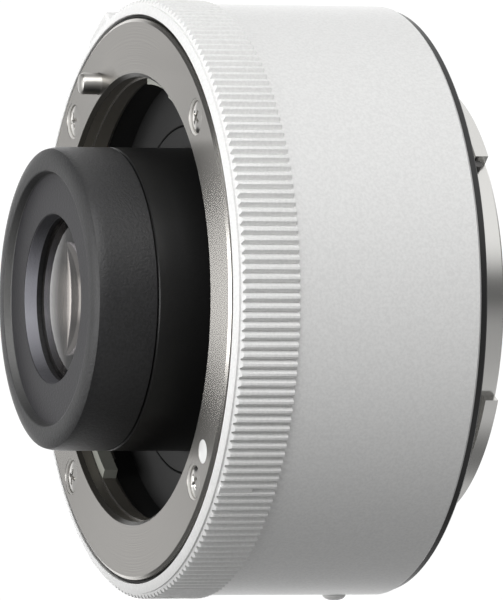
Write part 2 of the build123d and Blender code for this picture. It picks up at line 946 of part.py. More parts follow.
# Levels of the elements' edges
lens_1_top = cap_tip - lip_depth
lens_1_bottom = lens_1_top - lens_1_edge
lens_2_top = lens_1_bottom - front_spacer_length
lens_2_bottom = lens_2_top - lens_2_edge
lens_3_top = lens_2_bottom - cement
lens_3_bottom = lens_3_top - lens_3_edge
lens_4_top = lens_3_bottom - cement
lens_4_bottom = lens_4_top - lens_4_edge
spigot_bottom = lens_4_bottom - retainer_height - cement
shoulder_bottom = spigot_bottom - fit - shoulder_height
lens_5_top = shoulder_bottom
lens_5_bottom = lens_5_top - lens_5_edge
lens_6_top = lens_5_bottom - cement
lens_6_bottom = lens_6_top - lens_6_edge
lens_7_top = lens_6_bottom - middle_spacer_length
lens_7_bottom = lens_7_top - lens_7_edge
lens_8_bottom = rear_lens_height
lens_8_top = lens_8_bottom + lens_8_edge
rear_retainer_inner = rear_lens_radius - retainer_width
rear_retainer_top = lens_8_bottom - cement - surface_height(
    rear_lens_radius, lens_8_rear_bulge, rear_retainer_inner)
barrel_bottom = rear_retainer_top - retainer_height - fit


def lens_elements():
    return {
        "lens_1_front": lens(front_lens_radius, lens_1_top, lens_1_edge,
                             lens_1_front_bulge, lens_1_rear_bulge),
        "lens_2_flint": lens(front_lens_radius, lens_2_top, lens_2_edge,
                             -lens_2_front_dish, -lens_3_front_bulge),
        "lens_3_crown": lens(front_lens_radius, lens_3_top, lens_3_edge,
                             lens_3_front_bulge, lens_3_rear_bulge),
        "lens_4_flint": lens(front_lens_radius, lens_4_top, lens_4_edge,
                             -lens_3_rear_bulge, -lens_4_rear_dish),
        "lens_5_crown": lens(middle_lens_radius, lens_5_top, lens_5_edge,
                             lens_5_front_bulge, lens_5_rear_bulge),
        "lens_6_flint": lens(middle_lens_radius, lens_6_top, lens_6_edge,
                             -lens_5_rear_bulge, -lens_6_rear_dish),
        "lens_7_negative": lens(third_lens_radius, lens_7_top, lens_7_edge,
                                -lens_7_front_dish, -lens_7_rear_dish),
        "lens_8_rear": lens(rear_lens_radius, lens_8_top, lens_8_edge,
                            lens_8_front_bulge, lens_8_rear_bulge),
    }


# Front cap: matt black nose that holds the first four elements
def front_cap():
    rim_outer = barrel_radius - cap_nose_radius
    rim_inner = barrel_radius - cap_rim_width
    bezel_top = cap_tip - cap_rim_height
    lip_top = cap_tip - bezel_drop - opening_depth
    throat = opening_radius - opening_taper
    spigot = barrel_radius - spigot_wall
    cell = front_lens_radius + fit
    outline = Polyline(
        (rim_outer, 0, cap_tip),
        (rim_inner, 0, cap_tip),
        (rim_inner - cap_rim_taper, 0, bezel_top),
        (opening_radius, 0, cap_tip - bezel_drop),
        (throat, 0, lip_top),
        (front_lens_radius - lip_width, 0, lip_top),
        (front_lens_radius - lip_width, 0, lens_1_top + lip_clearance()),
        (cell, 0, lens_1_top + lip_clearance()),
        (cell, 0, spigot_bottom),
        (spigot, 0, spigot_bottom),
        (spigot, 0, seam),
        (barrel_radius - seam_chamfer, 0, seam),
        (barrel_radius, 0, seam + seam_chamfer),
        (barrel_radius, 0, cap_tip - cap_nose_radius),
    )
    corner = (rim_outer, 0, cap_tip - cap_nose_radius)
    middle = (corner[0] + cap_nose_radius * cos(radians(45)), 0, corner[2] + cap_nose_radius * sin(radians(45)))
    nose = ThreePointArc((barrel_radius, 0, corner[2]), middle, (rim_outer, 0, cap_tip))
    return revolve(make_face([outline, nose]), Axis.Z)


def lip_clearance():
    """Room above the first lens's edge for its bulge under the lip."""
    return surface_height(front_lens_radius, lens_1_front_bulge, front_lens_radius - lip_width) + cement


def lens_barrel():
    """Black tube from the front cap to the rear glass, stepped inside for the cells."""
    spigot = barrel_radius - spigot_wall + fit
    return turned(
        (spigot, seam),
        (barrel_radius - seam_chamfer, seam),
        (barrel_radius, seam - seam_chamfer),
        (barrel_radius, barrel_bottom),
        (rear_lens_radius + fit, barrel_bottom),
        (rear_lens_radius + fit, rear_shoulder()),
        (third_lens_radius + fit, rear_shoulder()),
        (third_lens_radius + fit, lens_7_top),
        (middle_lens_radius + fit, lens_7_top),
        (middle_lens_radius + fit, shoulder_bottom + shoulder_lift()),
        (middle_lens_radius - shoulder_width, shoulder_bottom + shoulder_lift()),
        (middle_lens_radius - shoulder_width, shoulder_bottom + shoulder_height),
        (spigot, shoulder_bottom + shoulder_height),
    )


def shoulder_lift():
    """The middle group's front surface bulges this far up at the shoulder's edge."""
    inner = middle_lens_radius - shoulder_width
    return surface_height(middle_lens_radius, lens_5_front_bulge, inner) + cement


def rear_shoulder():
    """The rear lens seats against this step, which clears its bulging front."""
    rise = surface_height(rear_lens_radius, lens_8_front_bulge, third_lens_radius + fit)
    return lens_8_top + rise + cement


def barrel_flange():
    """Ring round the barrel that seats it on the frame's web."""
    flange = ring(barrel_radius + fit, barrel_flange_radius, web_top, floor_top)
    for angle in barrel_screw_angles:
        place = polar(barrel_screw_orbit(), angle)
        flange -= disc(barrel_screw_shank + fit, web_top - overrun, web_top + barrel_screw_bite, place)
    return flange


def barrel_screws():
    length = web_thickness + barrel_screw_bite - fit
    return group(
        cap_screw(barrel_screw_orbit(), angle, web_back, barrel_screw_head, barrel_screw_height,
                  barrel_screw_shank, length, down=False)
        for angle in barrel_screw_angles
    )


def front_spacer():
    outer = front_lens_radius
    inner = outer - spacer_width
    top = lens_1_bottom - surface_height(outer, lens_1_rear_bulge, inner) - cement
    return ring(inner, outer, lens_2_top + cement, top)


def front_retainer():
    return ring(front_lens_radius - retainer_width, front_lens_radius, spigot_bottom, lens_4_bottom - cement)


def middle_spacer():
    outer = middle_lens_radius
    return ring(outer - spacer_width, outer, lens_7_top + cement, lens_6_bottom - cement)


def rear_spacer():
    outer = third_lens_radius
    inner = outer - spacer_width
    bottom = lens_8_top + surface_height(rear_lens_radius, lens_8_front_bulge, inner) + cement
    return ring(inner, outer, bottom, lens_7_bottom - cement)


def rear_retainer():
    bottom = rear_retainer_top - retainer_height
    return ring(rear_retainer_inner, rear_lens_radius, bottom, rear_retainer_top)


parts = {
    "front_mount_plate": front_mount_plate(),
    "front_mount_screws": front_mount_screws(),
    "mount_index_dot": mount_index_dot(),
    "bayonet_spring": bayonet_spring(),
    "mount_well": mount_well(),
    "main_frame": main_frame(),
    "grip_ring": grip_ring(),
    "groove_ring": groove_ring(),
    "barrel_shell": barrel_shell(),
    "index_bead": index_bead(),
    "rear_trim_ring": rear_trim_ring(),
    "rear_mount": rear_mount(),
    "bayonet_stop_pin": bayonet_stop_pin(),
    "rear_mount_screws": rear_mount_screws(),
    "rear_mount_shim": rear_mount_shim(),
    "rear_cover": rear_cover(),
    "rear_contact_block": rear_contact_block(),
    "rear_contact_pads": rear_contact_pads(),
    "front_contact_block": front_contact_block(),
    "contact_pins": contact_pins(),
    "contact_pin_springs": contact_pin_springs(),
    "circuit_board": circuit_board(),
    "board_chips": board_chips(),
    "board_screws": board_screws(),
    "front_flex": front_flex(),
    "rear_flex": rear_flex(),
    "release_lever": release_lever(),
    "release_bracket": release_bracket(),
    "lock_pin": lock_pin(),
    "lock_spring": lock_spring(),
    "front_cap": front_cap(),
    "lens_barrel": lens_barrel(),
    "barrel_flange": barrel_flange(),
    "barrel_screws": barrel_screws(),
    "front_spacer": front_spacer(),
    "front_retainer": front_retainer(),
    "middle_spacer": middle_spacer(),
    "rear_spacer": rear_spacer(),
    "rear_retainer": rear_retainer(),
}
parts.update(lens_elements())

os.makedirs("parts", exist_ok=True)
for node, shape in parts.items():
    export_step(shape, f"parts/{node}.step")
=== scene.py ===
import json
from math import cos, pi, radians, sin, sqrt, tau

import bmesh
import bpy
from mathutils import Matrix, Vector


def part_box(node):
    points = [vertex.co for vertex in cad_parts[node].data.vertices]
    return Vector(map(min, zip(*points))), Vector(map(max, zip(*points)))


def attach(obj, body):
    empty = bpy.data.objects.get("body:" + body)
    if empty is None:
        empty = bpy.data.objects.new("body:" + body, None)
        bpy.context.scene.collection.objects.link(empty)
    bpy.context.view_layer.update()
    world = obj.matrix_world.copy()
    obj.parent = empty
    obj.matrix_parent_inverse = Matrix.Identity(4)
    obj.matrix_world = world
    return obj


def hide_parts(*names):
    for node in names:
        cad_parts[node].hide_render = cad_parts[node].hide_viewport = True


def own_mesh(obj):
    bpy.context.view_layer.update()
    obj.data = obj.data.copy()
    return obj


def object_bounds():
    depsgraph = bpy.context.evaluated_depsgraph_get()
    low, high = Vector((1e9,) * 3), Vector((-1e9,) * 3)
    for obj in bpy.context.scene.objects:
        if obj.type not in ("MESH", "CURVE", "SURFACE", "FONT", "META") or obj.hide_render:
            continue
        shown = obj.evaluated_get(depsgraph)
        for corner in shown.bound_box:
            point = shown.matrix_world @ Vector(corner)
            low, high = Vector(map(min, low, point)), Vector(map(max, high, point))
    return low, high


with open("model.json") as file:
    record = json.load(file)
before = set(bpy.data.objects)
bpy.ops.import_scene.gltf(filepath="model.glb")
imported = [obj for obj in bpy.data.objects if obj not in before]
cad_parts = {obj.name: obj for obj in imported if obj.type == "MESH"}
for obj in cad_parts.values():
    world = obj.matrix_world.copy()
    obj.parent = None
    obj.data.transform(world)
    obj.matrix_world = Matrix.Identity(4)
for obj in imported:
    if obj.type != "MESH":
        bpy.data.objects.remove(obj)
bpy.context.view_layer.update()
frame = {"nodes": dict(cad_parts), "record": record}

# Camera teleconverter. It stands on its camera end, with +Z along the optical axis.
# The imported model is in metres, and the sizes below are millimetres.
mm = 0.001


# The camera looks at the front of the part from low over its mount, with +X up in the
# picture, through a long lens, so that the part lies on its side as it does there. The
# distances of the camera and of the lamps are in metres.
camera_height_angle = 20.35
camera_roll = 0.3
camera_distance = 1.36
nearest_seen = 0.1
farthest_seen = 20.0
focal_length = 780.7
sensor_width = 36.0
aim = Vector((-0.02, -0.07, 14.9)) * mm


def toward(right, up, back):
    """A direction given by the picture's right and up and by the way to the camera."""
    e = radians(camera_height_angle)
    picture_right = Vector((0, -sin(e), -cos(e)))
    picture_up = Vector((1, 0, 0))
    return picture_right * right + picture_up * up + Vector((0, -cos(e), sin(e))) * back


camera = bpy.data.objects.new("camera", bpy.data.cameras.new("camera"))
camera.data.sensor_width = sensor_width
camera.data.lens = focal_length
camera.data.clip_start = nearest_seen
camera.data.clip_end = farthest_seen
axes = Matrix((toward(1, 0, 0), toward(0, 1, 0), toward(0, 0, 1))).transposed().to_4x4()
place = Matrix.Translation(aim + toward(0, 0, camera_distance))
camera.matrix_world = place @ axes @ Matrix.Rotation(radians(camera_roll), 4, "Z")
bpy.context.scene.collection.objects.link(camera)
bpy.context.scene.camera = camera
bpy.context.scene.view_settings.view_transform = "Standard"


# Pale floor that the part stands on: a sheet of white acrylic lit from below, which
# gives the picture its plain ground. From underneath it lets the view through.
floor_half_width = 3000.0
floor_glow = 1.05
floor_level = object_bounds()[0].z
floor_mesh = bmesh.new()
bmesh.ops.create_grid(floor_mesh, x_segments=1, y_segments=1, size=floor_half_width * mm,
                      matrix=Matrix.Translation((0, 0, floor_level)))
floor = bpy.data.objects.new("floor", bpy.data.meshes.new("floor"))
floor_mesh.to_mesh(floor.data)
floor_mesh.free()
bpy.context.scene.collection.objects.link(floor)


def linear(code):
    """Scene colour of an sRGB hex code."""
    channels = [int(code[i:i + 2], 16) / 255 for i in (1, 3, 5)]
    return tuple(c / 12.92 if c <= 0.04045 else ((c + 0.055) / 1.055) ** 2.4 for c in channels) + (1.0,)


def add(owner, kind, settings={}, links={}):
    """Adds a shader node. Settings are its properties or sockets, links its (node, output)."""
    node = owner.node_tree.nodes.new("ShaderNode" + kind)
    for name, value in settings.items():
        if isinstance(name, str) and hasattr(node, name):
            setattr(node, name, value)
        else:
            node.inputs[name].default_value = value
    for name, (source, output) in links.items():
        owner.node_tree.links.new(source.outputs[output], node.inputs[name])
    return node


lit_acrylic = bpy.data.materials.new("lit_white_acrylic")
lit_acrylic.use_nodes = True
lit_acrylic.node_tree.nodes.clear()
glow = add(lit_acrylic, "Emission", {"Color": linear("#ffffff"), "Strength": floor_glow})
clear = add(lit_acrylic, "BsdfTransparent")
side = add(lit_acrylic, "NewGeometry")
seen = add(lit_acrylic, "MixShader", links={0: (side, "Backfacing"), 1: (glow, 0), 2: (clear, 0)})
add(lit_acrylic, "OutputMaterial", links={"Surface": (seen, 0)})
floor.data.materials.append(lit_acrylic)
floor.visible_diffuse = False
floor.visible_glossy = False
floor.visible_shadow = False


# Studio light: a soft box above the camera, a tall one at the picture's left, and a dark
# room that the metal and the glass mirror. It has a light wall at the height of the
# optical axis, a bright backdrop, and grey panels below the part, from low X to high X.
wall_glow = 0.5
wall_fade = (0.15, 0.42)
backdrop_glow = 2.3
backdrop_fade = (0.72, 0.97)
room_glow_least = 0.12
scattered_glow = 0.25
floor_fade = (-0.12, 0.0)
panel_glow = 1.1
panel_levels = [(0.03, 0.12), (0.075, 0.6), (0.25, 0.45), (0.4, 0.38), (0.52, 0.12),
                (0.6, 0.2), (0.69, 0.8), (0.75, 1.0)]
room = bpy.data.worlds.new("studio_room")
bpy.context.scene.world = room
room.use_nodes = True
room.node_tree.nodes.clear()
ray = add(room, "LightPath")
way_out = add(room, "TexCoord")
way_parts = add(room, "SeparateXYZ", links={0: (way_out, "Generated")})
way_up = add(room, "Math", {"operation": "ABSOLUTE"}, {0: (way_parts, "X")})
wall = add(room, "MapRange", {"From Min": wall_fade[0], "From Max": wall_fade[1],
                              "To Min": wall_glow, "To Max": 0.0}, {"Value": (way_up, 0)})
way_behind = add(room, "VectorMath", {"operation": "DOT_PRODUCT", 1: toward(0, 0, -1)},
                 {0: (way_out, "Generated")})
backdrop = add(room, "MapRange", {"From Min": backdrop_fade[0], "From Max": backdrop_fade[1],
                                  "To Min": room_glow_least, "To Max": backdrop_glow},
               {"Value": (way_behind, "Value")})
panel_place = add(room, "MapRange", {"From Min": -1.0, "From Max": 1.0}, {"Value": (way_parts, "X")})
panels = add(room, "ValToRGB", links={"Fac": (panel_place, 0)})
for _ in range(len(panel_levels) - 2):
    panels.color_ramp.elements.new(0.5)
for stop, (place_up, level) in zip(panels.color_ramp.elements, panel_levels):
    stop.position = place_up
    stop.color = (level, level, level, 1.0)
below = add(room, "MapRange", {"From Min": floor_fade[0], "From Max": floor_fade[1],
                               "To Min": panel_glow, "To Max": 0.0}, {"Value": (way_parts, "Z")})
lower_panels = add(room, "Math", {"operation": "MULTIPLY"}, {0: (panels, 0), 1: (below, 0)})
above = add(room, "MapRange", {"From Min": floor_fade[0], "From Max": floor_fade[1]},
            {"Value": (way_parts, "Z")})
upper_wall = add(room, "Math", {"operation": "MULTIPLY"}, {0: (wall, 0), 1: (above, 0)})
walls = add(room, "Math", {"operation": "MAXIMUM"}, {0: (upper_wall, 0), 1: (lower_panels, 0)})
room_level = add(room, "Math", {"operation": "MAXIMUM"}, {0: (walls, 0), 1: (backdrop, 0)})
mirrored = add(room, "Background", {"Color": linear("#ffffff")}, {"Strength": (room_level, 0)})
scattered = add(room, "Background", {"Color": linear("#ffffff"), "Strength": scattered_glow})
room_glow = add(room, "MixShader",
                links={0: (ray, "Is Diffuse Ray"), 1: (mirrored, 0), 2: (scattered, 0)})
add(room, "OutputWorld", links={"Surface": (room_glow, 0)})


def soft_box(name, direction, distance, width, height, power):
    """A rectangular lamp of a power in watts, which makes no glint inside the glass."""
    lamp = bpy.data.objects.new(name, bpy.data.lights.new(name, "AREA"))
    lamp.data.shape = "RECTANGLE"
    lamp.data.size = width
    lamp.data.size_y = height
    lamp.data.energy = power
    lamp.location = aim + direction.normalized() * distance
    lamp.rotation_euler = direction.to_track_quat("Z", "Y").to_euler()
    lamp.visible_transmission = False
    bpy.context.scene.collection.objects.link(lamp)


soft_box("key_light", toward(-0.15, 1.0, 1.0), distance=1.2, width=0.8, height=0.8, power=10.8)
soft_box("side_light", toward(-1.0, 0.0, 0.3), distance=1.2, width=0.5, height=1.8, power=11.0)


# Barrel shell: the white outer tube, turned from aluminium, edge-broken at the back and
# sprayed with a fine-grained satin paint. A slot for the release lever goes through its
# wall, and so does a round hole for the index bead.
around = 256


def spun(outline, closed=True, steps=around):
    """A shape turned round the optical axis from (radius, height) corners."""
    bm = bmesh.new()
    corners = [bm.verts.new((radius * mm, 0, height * mm)) for radius, height in outline]
    follows = corners[1:] + corners[:1] if closed else corners[1:]
    edges = [bm.edges.new(pair) for pair in zip(corners, follows)]
    bmesh.ops.spin(bm, geom=corners + edges, cent=(0, 0, 0), axis=(0, 0, 1), dvec=(0, 0, 0),
                   angle=tau, steps=steps, use_merge=True, use_duplicate=False)
    bmesh.ops.remove_doubles(bm, verts=bm.verts, dist=1e-7)
    bmesh.ops.recalc_face_normals(bm, faces=bm.faces)
    return bm


def block(size, centre, turn=0.0, tilt=0.0):
    """A box by size and centre, then turned round the optical axis."""
    bm = bmesh.new()
    matrix = Matrix.Rotation(radians(turn), 4, "Z") @ Matrix.Translation(Vector(centre) * mm)
    matrix = matrix @ Matrix.Rotation(radians(tilt), 4, "Y") @ Matrix.Diagonal((*(s * mm for s in size), 1))
    bmesh.ops.create_cube(bm, size=1.0, matrix=matrix)
    return bm


def rod(radius, length, centre, turn=0.0, tilt=0.0, steps=64, tip=None):
    """A cylinder or cone by its middle. A tilt of 90 lays it along the radius."""
    bm = bmesh.new()
    matrix = Matrix.Rotation(radians(turn), 4, "Z") @ Matrix.Translation(Vector(centre) * mm)
    matrix = matrix @ Matrix.Rotation(radians(tilt), 4, "Y")
    far = radius if tip is None else tip
    bmesh.ops.create_cone(bm, cap_ends=True, cap_tris=False, segments=steps, radius1=radius * mm,
                          radius2=far * mm, depth=length * mm, matrix=matrix)
    return bm


def to_mesh(bm, name):
    mesh = bpy.data.meshes.new(name)
    bm.to_mesh(mesh)
    bm.free()
    return mesh


def carve(bm, tool, operation="DIFFERENCE"):
    """Cuts a closed shape out of a piece, or joins it on."""
    body = bpy.data.objects.new("body", to_mesh(bm, "body"))
    cutter = bpy.data.objects.new("cutter", to_mesh(tool, "cutter"))
    for thing in (body, cutter):
        bpy.context.scene.collection.objects.link(thing)
    step = body.modifiers.new("carve", "BOOLEAN")
    step.operation = operation
    step.object = cutter
    step.solver = "EXACT"
    bpy.context.view_layer.update()
    mesh = bpy.data.meshes.new_from_object(body.evaluated_get(bpy.context.evaluated_depsgraph_get()))
    out = bmesh.new()
    out.from_mesh(mesh)
    bpy.data.objects.remove(body)
    bpy.data.objects.remove(cutter)
    bpy.data.meshes.remove(mesh)
    return out


def show(name, bm, finish, smooth=30.0):
    """A finished piece. Faces that meet at less than the angle shade as one surface."""
    mesh = to_mesh(bm, name)
    mesh.polygons.foreach_set("use_smooth", [True] * len(mesh.polygons))
    mesh.set_sharp_from_angle(angle=radians(smooth))
    mesh.materials.append(finish)
    piece = bpy.data.objects.new(name, mesh)
    bpy.context.scene.collection.objects.link(piece)
    return piece


def stand_for(piece, node, body="housing"):
    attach(piece, body)
    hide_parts(node)


def surface(name, colour=None, **sockets):
    """A new finish with one principled shader, and that shader."""
    finish = bpy.data.materials.new(name)
    finish.use_nodes = True
    shader = finish.node_tree.nodes["Principled BSDF"]
    if colour:
        shader.inputs["Base Color"].default_value = linear(colour)
    for socket, value in sockets.items():
        shader.inputs[socket.replace("_", " ")].default_value = value
    return finish, shader


def wire(finish, source, output, target, socket):
    finish.node_tree.links.new(source.outputs[output], target.inputs[socket])


def grain(finish, shader, size, height, detail=3.0):
    """Fine bumps of a size and a height in millimetres, laid over the whole surface."""
    where = add(finish, "TexCoord")
    spots = add(finish, "TexNoise", {"Scale": 1 / (size * mm), "Detail": detail, "Roughness": 0.55},
                {"Vector": (where, "Object")})
    relief = add(finish, "Bump", {"Strength": 1.0, "Distance": height * mm}, {"Height": (spots, "Fac")})
    wire(finish, relief, "Normal", shader, "Normal")
    return spots


def mottle(finish, shader, spots, dark, light, low=0.35, high=0.65):
    """Colour that runs from dark to light with the grain."""
    tones = add(finish, "ValToRGB", links={"Fac": (spots, "Fac")})
    tones.color_ramp.elements[0].position = low
    tones.color_ramp.elements[0].color = linear(dark)
    tones.color_ramp.elements[1].position = high
    tones.color_ramp.elements[1].color = linear(light)
    wire(finish, tones, "Color", shader, "Base Color")


def reach(node):
    """Outer radius of a turned node."""
    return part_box(node)[1].y / mm


def levels(node):
    """Bottom and top of a node."""
    low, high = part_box(node)
    return low.z / mm, high.z / mm


# Satin paint: sprayed over primer and stoved, which leaves a fine pebble. The grain of
# 0.3 mm is about twice the real one, so that it shows.
satin_white, white_shader = surface("sprayed_satin_white_paint", Roughness=0.42, Specular_IOR_Level=0.4)
white_spots = grain(satin_white, white_shader, size=0.3, height=0.012)
mottle(satin_white, white_shader, white_spots, "#e4e4e3", "#ededec")

shell_radius = reach("barrel_shell")
shell_back, shell_front = levels("barrel_shell")
shell_bore = 29.35
shell_break = 0.25
bead_radius = 1.25
bead_angle = 180.0
bead_height = 5.5
bead_fit = 0.03
bead_hole_cut = 5.0
slot_cut = 6.0
slot_half_width = 2.45
slot_low = 19.45
slot_high = 23.65
lever_angle = 30.7


def lever_slot():
    """The opening that the lever's stem slides in."""
    middle = (slot_low + slot_high) / 2
    centre = (shell_radius, 0, middle)
    return block((slot_cut, 2 * slot_half_width, slot_high - slot_low), centre, lever_angle)


shell = spun([(shell_bore, shell_back), (shell_radius - shell_break, shell_back),
              (shell_radius, shell_back + shell_break), (shell_radius, shell_front),
              (shell_bore, shell_front)])
shell = carve(shell, lever_slot())
bead_hole = rod(bead_radius + bead_fit, bead_hole_cut, (shell_radius, 0, bead_height),
                bead_angle, tilt=90.0)
shell = carve(shell, bead_hole)
painted_barrel = show("painted_barrel", shell, satin_white)
stand_for(painted_barrel, "barrel_shell")


# Grip ring: knurled aluminium under the same paint. Each rib has a flat crest and a V
# groove at each side, and ends in a slope under the plain rim. One groove is filled over
# part of its length.
rib_count = 196
rib_crest = reach("grip_ring")
rib_root = 30.7
rib_land_share = 0.34
rib_edge = 0.05
rib_foot = 0.1
rib_flank_share = 0.03
rib_break_share = 0.05
rib_end_root = 0.75
rib_end_crest = 1.05
rib_end_break = 0.04
rib_collar = 30.86
ring_face = rib_root - 0.02
rim_drop_outer = 0.5
rim_drop_inner = 0.2
rim_break = 0.03
rim_round = 0.06
grip_back, grip_front = levels("grip_ring")
groove_mouth = 29.67
groove_depth = 1.15
filled_angle = 231.0
filled_length = 3.6
filled_sink = 0.06
filled_foot = 0.05
filled_gap = 0.1


def stretch(inner, outer, bottom, top, start, end, steps=48):
    """A stretch of a ring between two angles."""
    bm = bmesh.new()
    corners = [bm.verts.new((r * mm, 0, z * mm))
               for r, z in ((inner, bottom), (outer, bottom), (outer, top), (inner, top))]
    edges = [bm.edges.new(pair) for pair in zip(corners, corners[1:] + corners[:1])]
    bmesh.ops.rotate(bm, verts=corners, cent=(0, 0, 0), matrix=Matrix.Rotation(radians(start), 3, "Z"))
    bmesh.ops.spin(bm, geom=corners + edges, cent=(0, 0, 0), axis=(0, 0, 1), dvec=(0, 0, 0),
                   angle=radians(end - start), steps=steps, use_merge=False, use_duplicate=False)
    bmesh.ops.holes_fill(bm, edges=[e for e in bm.edges if e.is_boundary], sides=0)
    bmesh.ops.recalc_face_normals(bm, faces=bm.faces)
    return bm


def merged(shapes):
    """Several shapes in one."""
    whole = bmesh.new()
    for bm in shapes:
        mesh = to_mesh(bm, "part")
        whole.from_mesh(mesh)
        bpy.data.meshes.remove(mesh)
    return whole


def knurl():
    """One rib as a prism from groove to groove, its end edge broken, turned round the ring."""
    pitch = tau / rib_count
    flank = [(rib_root - rib_foot, 0.5), (rib_root, 0.5),
             (rib_crest - rib_edge, rib_land_share / 2 + rib_flank_share),
             (rib_crest, rib_land_share / 2 - rib_break_share)]
    outline = [(r, -share) for r, share in flank] + [(r, share) for r, share in reversed(flank)]
    bm = bmesh.new()
    corners = [bm.verts.new((r * cos(share * pitch) * mm, r * sin(share * pitch) * mm, grip_back * mm))
               for r, share in outline]
    foot = bm.faces.new(corners)
    raised = bmesh.ops.extrude_face_region(bm, geom=[foot])["geom"]
    top = [v for v in raised if isinstance(v, bmesh.types.BMVert)]
    for v in top:
        share = (v.co.xy.length / mm - rib_root) / (rib_crest - rib_root)
        v.co.z = (grip_front - rib_end_root - (rib_end_crest - rib_end_root) * share) * mm
    crest = [v for v in top if v.co.xy.length > (rib_crest - rib_edge / 2) * mm]
    crest_end = [e for e in bm.edges if e.verts[0] in crest and e.verts[1] in crest]
    bmesh.ops.bevel(bm, geom=crest_end, offset=rib_end_break * mm, offset_type="OFFSET", segments=1,
                    profile=0.5, affect="EDGES", material=-1)
    bmesh.ops.recalc_face_normals(bm, faces=bm.faces)
    bmesh.ops.rotate(bm, verts=bm.verts, cent=(0, 0, 0),
                     matrix=Matrix.Rotation(radians(filled_angle) + pitch / 2, 3, "Z"))
    bmesh.ops.spin(bm, geom=bm.verts[:] + bm.edges[:] + bm.faces[:], cent=(0, 0, 0),
                   axis=(0, 0, 1), dvec=(0, 0, 0), angle=tau - pitch, steps=rib_count - 1,
                   use_merge=False, use_duplicate=True)
    return bm


rim_top = grip_front - rim_drop_inner
collar_share = (rib_collar - rib_root) / (rib_crest - rib_root)
collar_top = grip_front - rib_end_root - (rib_end_crest - rib_end_root) * collar_share
grip_rim = [(shell_bore, grip_back), (ring_face, grip_back), (ring_face, collar_top - rim_break),
            (rib_collar, collar_top), (ring_face, grip_front - rib_end_root),
            (ring_face, grip_front - rim_drop_outer - rim_break),
            (ring_face - rim_break, grip_front - rim_drop_outer), (groove_mouth + rim_round, rim_top),
            (groove_mouth, rim_top - rim_round), (groove_mouth, grip_front - groove_depth),
            (shell_bore, grip_front - groove_depth)]
grip_body = carve(spun(grip_rim, steps=rib_count * 2), lever_slot())
half_pitch = 180.0 / rib_count
fill_top = grip_front - rib_end_root - filled_gap
fill = stretch(rib_root - filled_foot, rib_crest - filled_sink, fill_top - filled_length, fill_top,
               filled_angle - half_pitch, filled_angle + half_pitch, steps=4)
grip = merged([grip_body, knurl(), fill])
knurled_grip = show("knurled_grip", grip, satin_white)
stand_for(knurled_grip, "grip_ring")


# Release lever: the finger piece, of moulded plastic in the barrel's satin white, on a
# stem that goes in through the slot in the grip and slides along it.
lever_low, lever_high = levels("release_lever")
lever_near = 31.5
lever_far = 33.5
lever_width = 6.0
stem_width = 4.4
stem_low = 21.8
stem_high = 23.4
stem_root = 26.8
stem_sink = 0.3
stem_round = 0.1
finger_round = 0.35
lever_middle = ((lever_near + lever_far) / 2, 0, (lever_low + lever_high) / 2)


def soften(bm, width, segments=2, limit=30.0):
    """Rounds every edge that is sharper than a limit."""
    sharp = [e for e in bm.edges if len(e.link_faces) == 2 and e.calc_face_angle(0) > radians(limit)]
    bmesh.ops.bevel(bm, geom=sharp, offset=width * mm, offset_type="OFFSET", segments=segments,
                    profile=0.5, affect="EDGES", material=-1, clamp_overlap=True)
    return bm


finger = block((lever_far - lever_near, lever_width, lever_high - lever_low), lever_middle, lever_angle)
finger = soften(finger, finger_round, segments=4)
stem_size = (lever_near - stem_root + stem_sink, stem_width, stem_high - stem_low)
stem_middle = ((lever_near + stem_root + stem_sink) / 2, 0, (stem_low + stem_high) / 2)
stem = soften(block(stem_size, stem_middle, lever_angle), stem_round)
moulded_lever = show("moulded_lever", carve(finger, stem, "UNION"), satin_white)
stand_for(moulded_lever, "release_lever", "release")


# Index bead: a small dome moulded in glossy white acrylic, on a stub that is pressed
# into a hole in the barrel. It shows how the part is turned into a camera.
gloss_white = surface("gloss_white_acrylic", "#f4f4f3", Roughness=0.12)[0]
bead_proud = 0.65
bead_stub = 1.4
bead = bmesh.new()
bmesh.ops.create_uvsphere(bead, u_segments=48, v_segments=24, radius=bead_radius * mm)
bmesh.ops.bisect_plane(bead, geom=bead.verts[:] + bead.edges[:] + bead.faces[:], plane_co=(0, 0, 0),
                       plane_no=(0, 0, 1), clear_inner=True)
bmesh.ops.scale(bead, vec=(1, 1, bead_proud / bead_radius), verts=bead.verts)
bead_base = [e for e in bead.edges if e.is_boundary]
skirt = bmesh.ops.extrude_edge_only(bead, edges=bead_base)["geom"]
skirt_corners = [v for v in skirt if isinstance(v, bmesh.types.BMVert)]
bmesh.ops.translate(bead, verts=skirt_corners, vec=(0, 0, -bead_stub * mm))
bmesh.ops.holes_fill(bead, edges=[e for e in bead.edges if e.is_boundary], sides=0)
bmesh.ops.recalc_face_normals(bead, faces=bead.faces)
bead_place = Matrix.Rotation(radians(bead_angle), 4, "Z")
bead_place = bead_place @ Matrix.Translation(Vector((shell_radius, 0, bead_height)) * mm)
bmesh.ops.transform(bead, matrix=bead_place @ Matrix.Rotation(pi / 2, 4, "Y"), verts=bead.verts)
glossy_bead = show("glossy_bead", bead, gloss_white)
stand_for(glossy_bead, "index_bead")


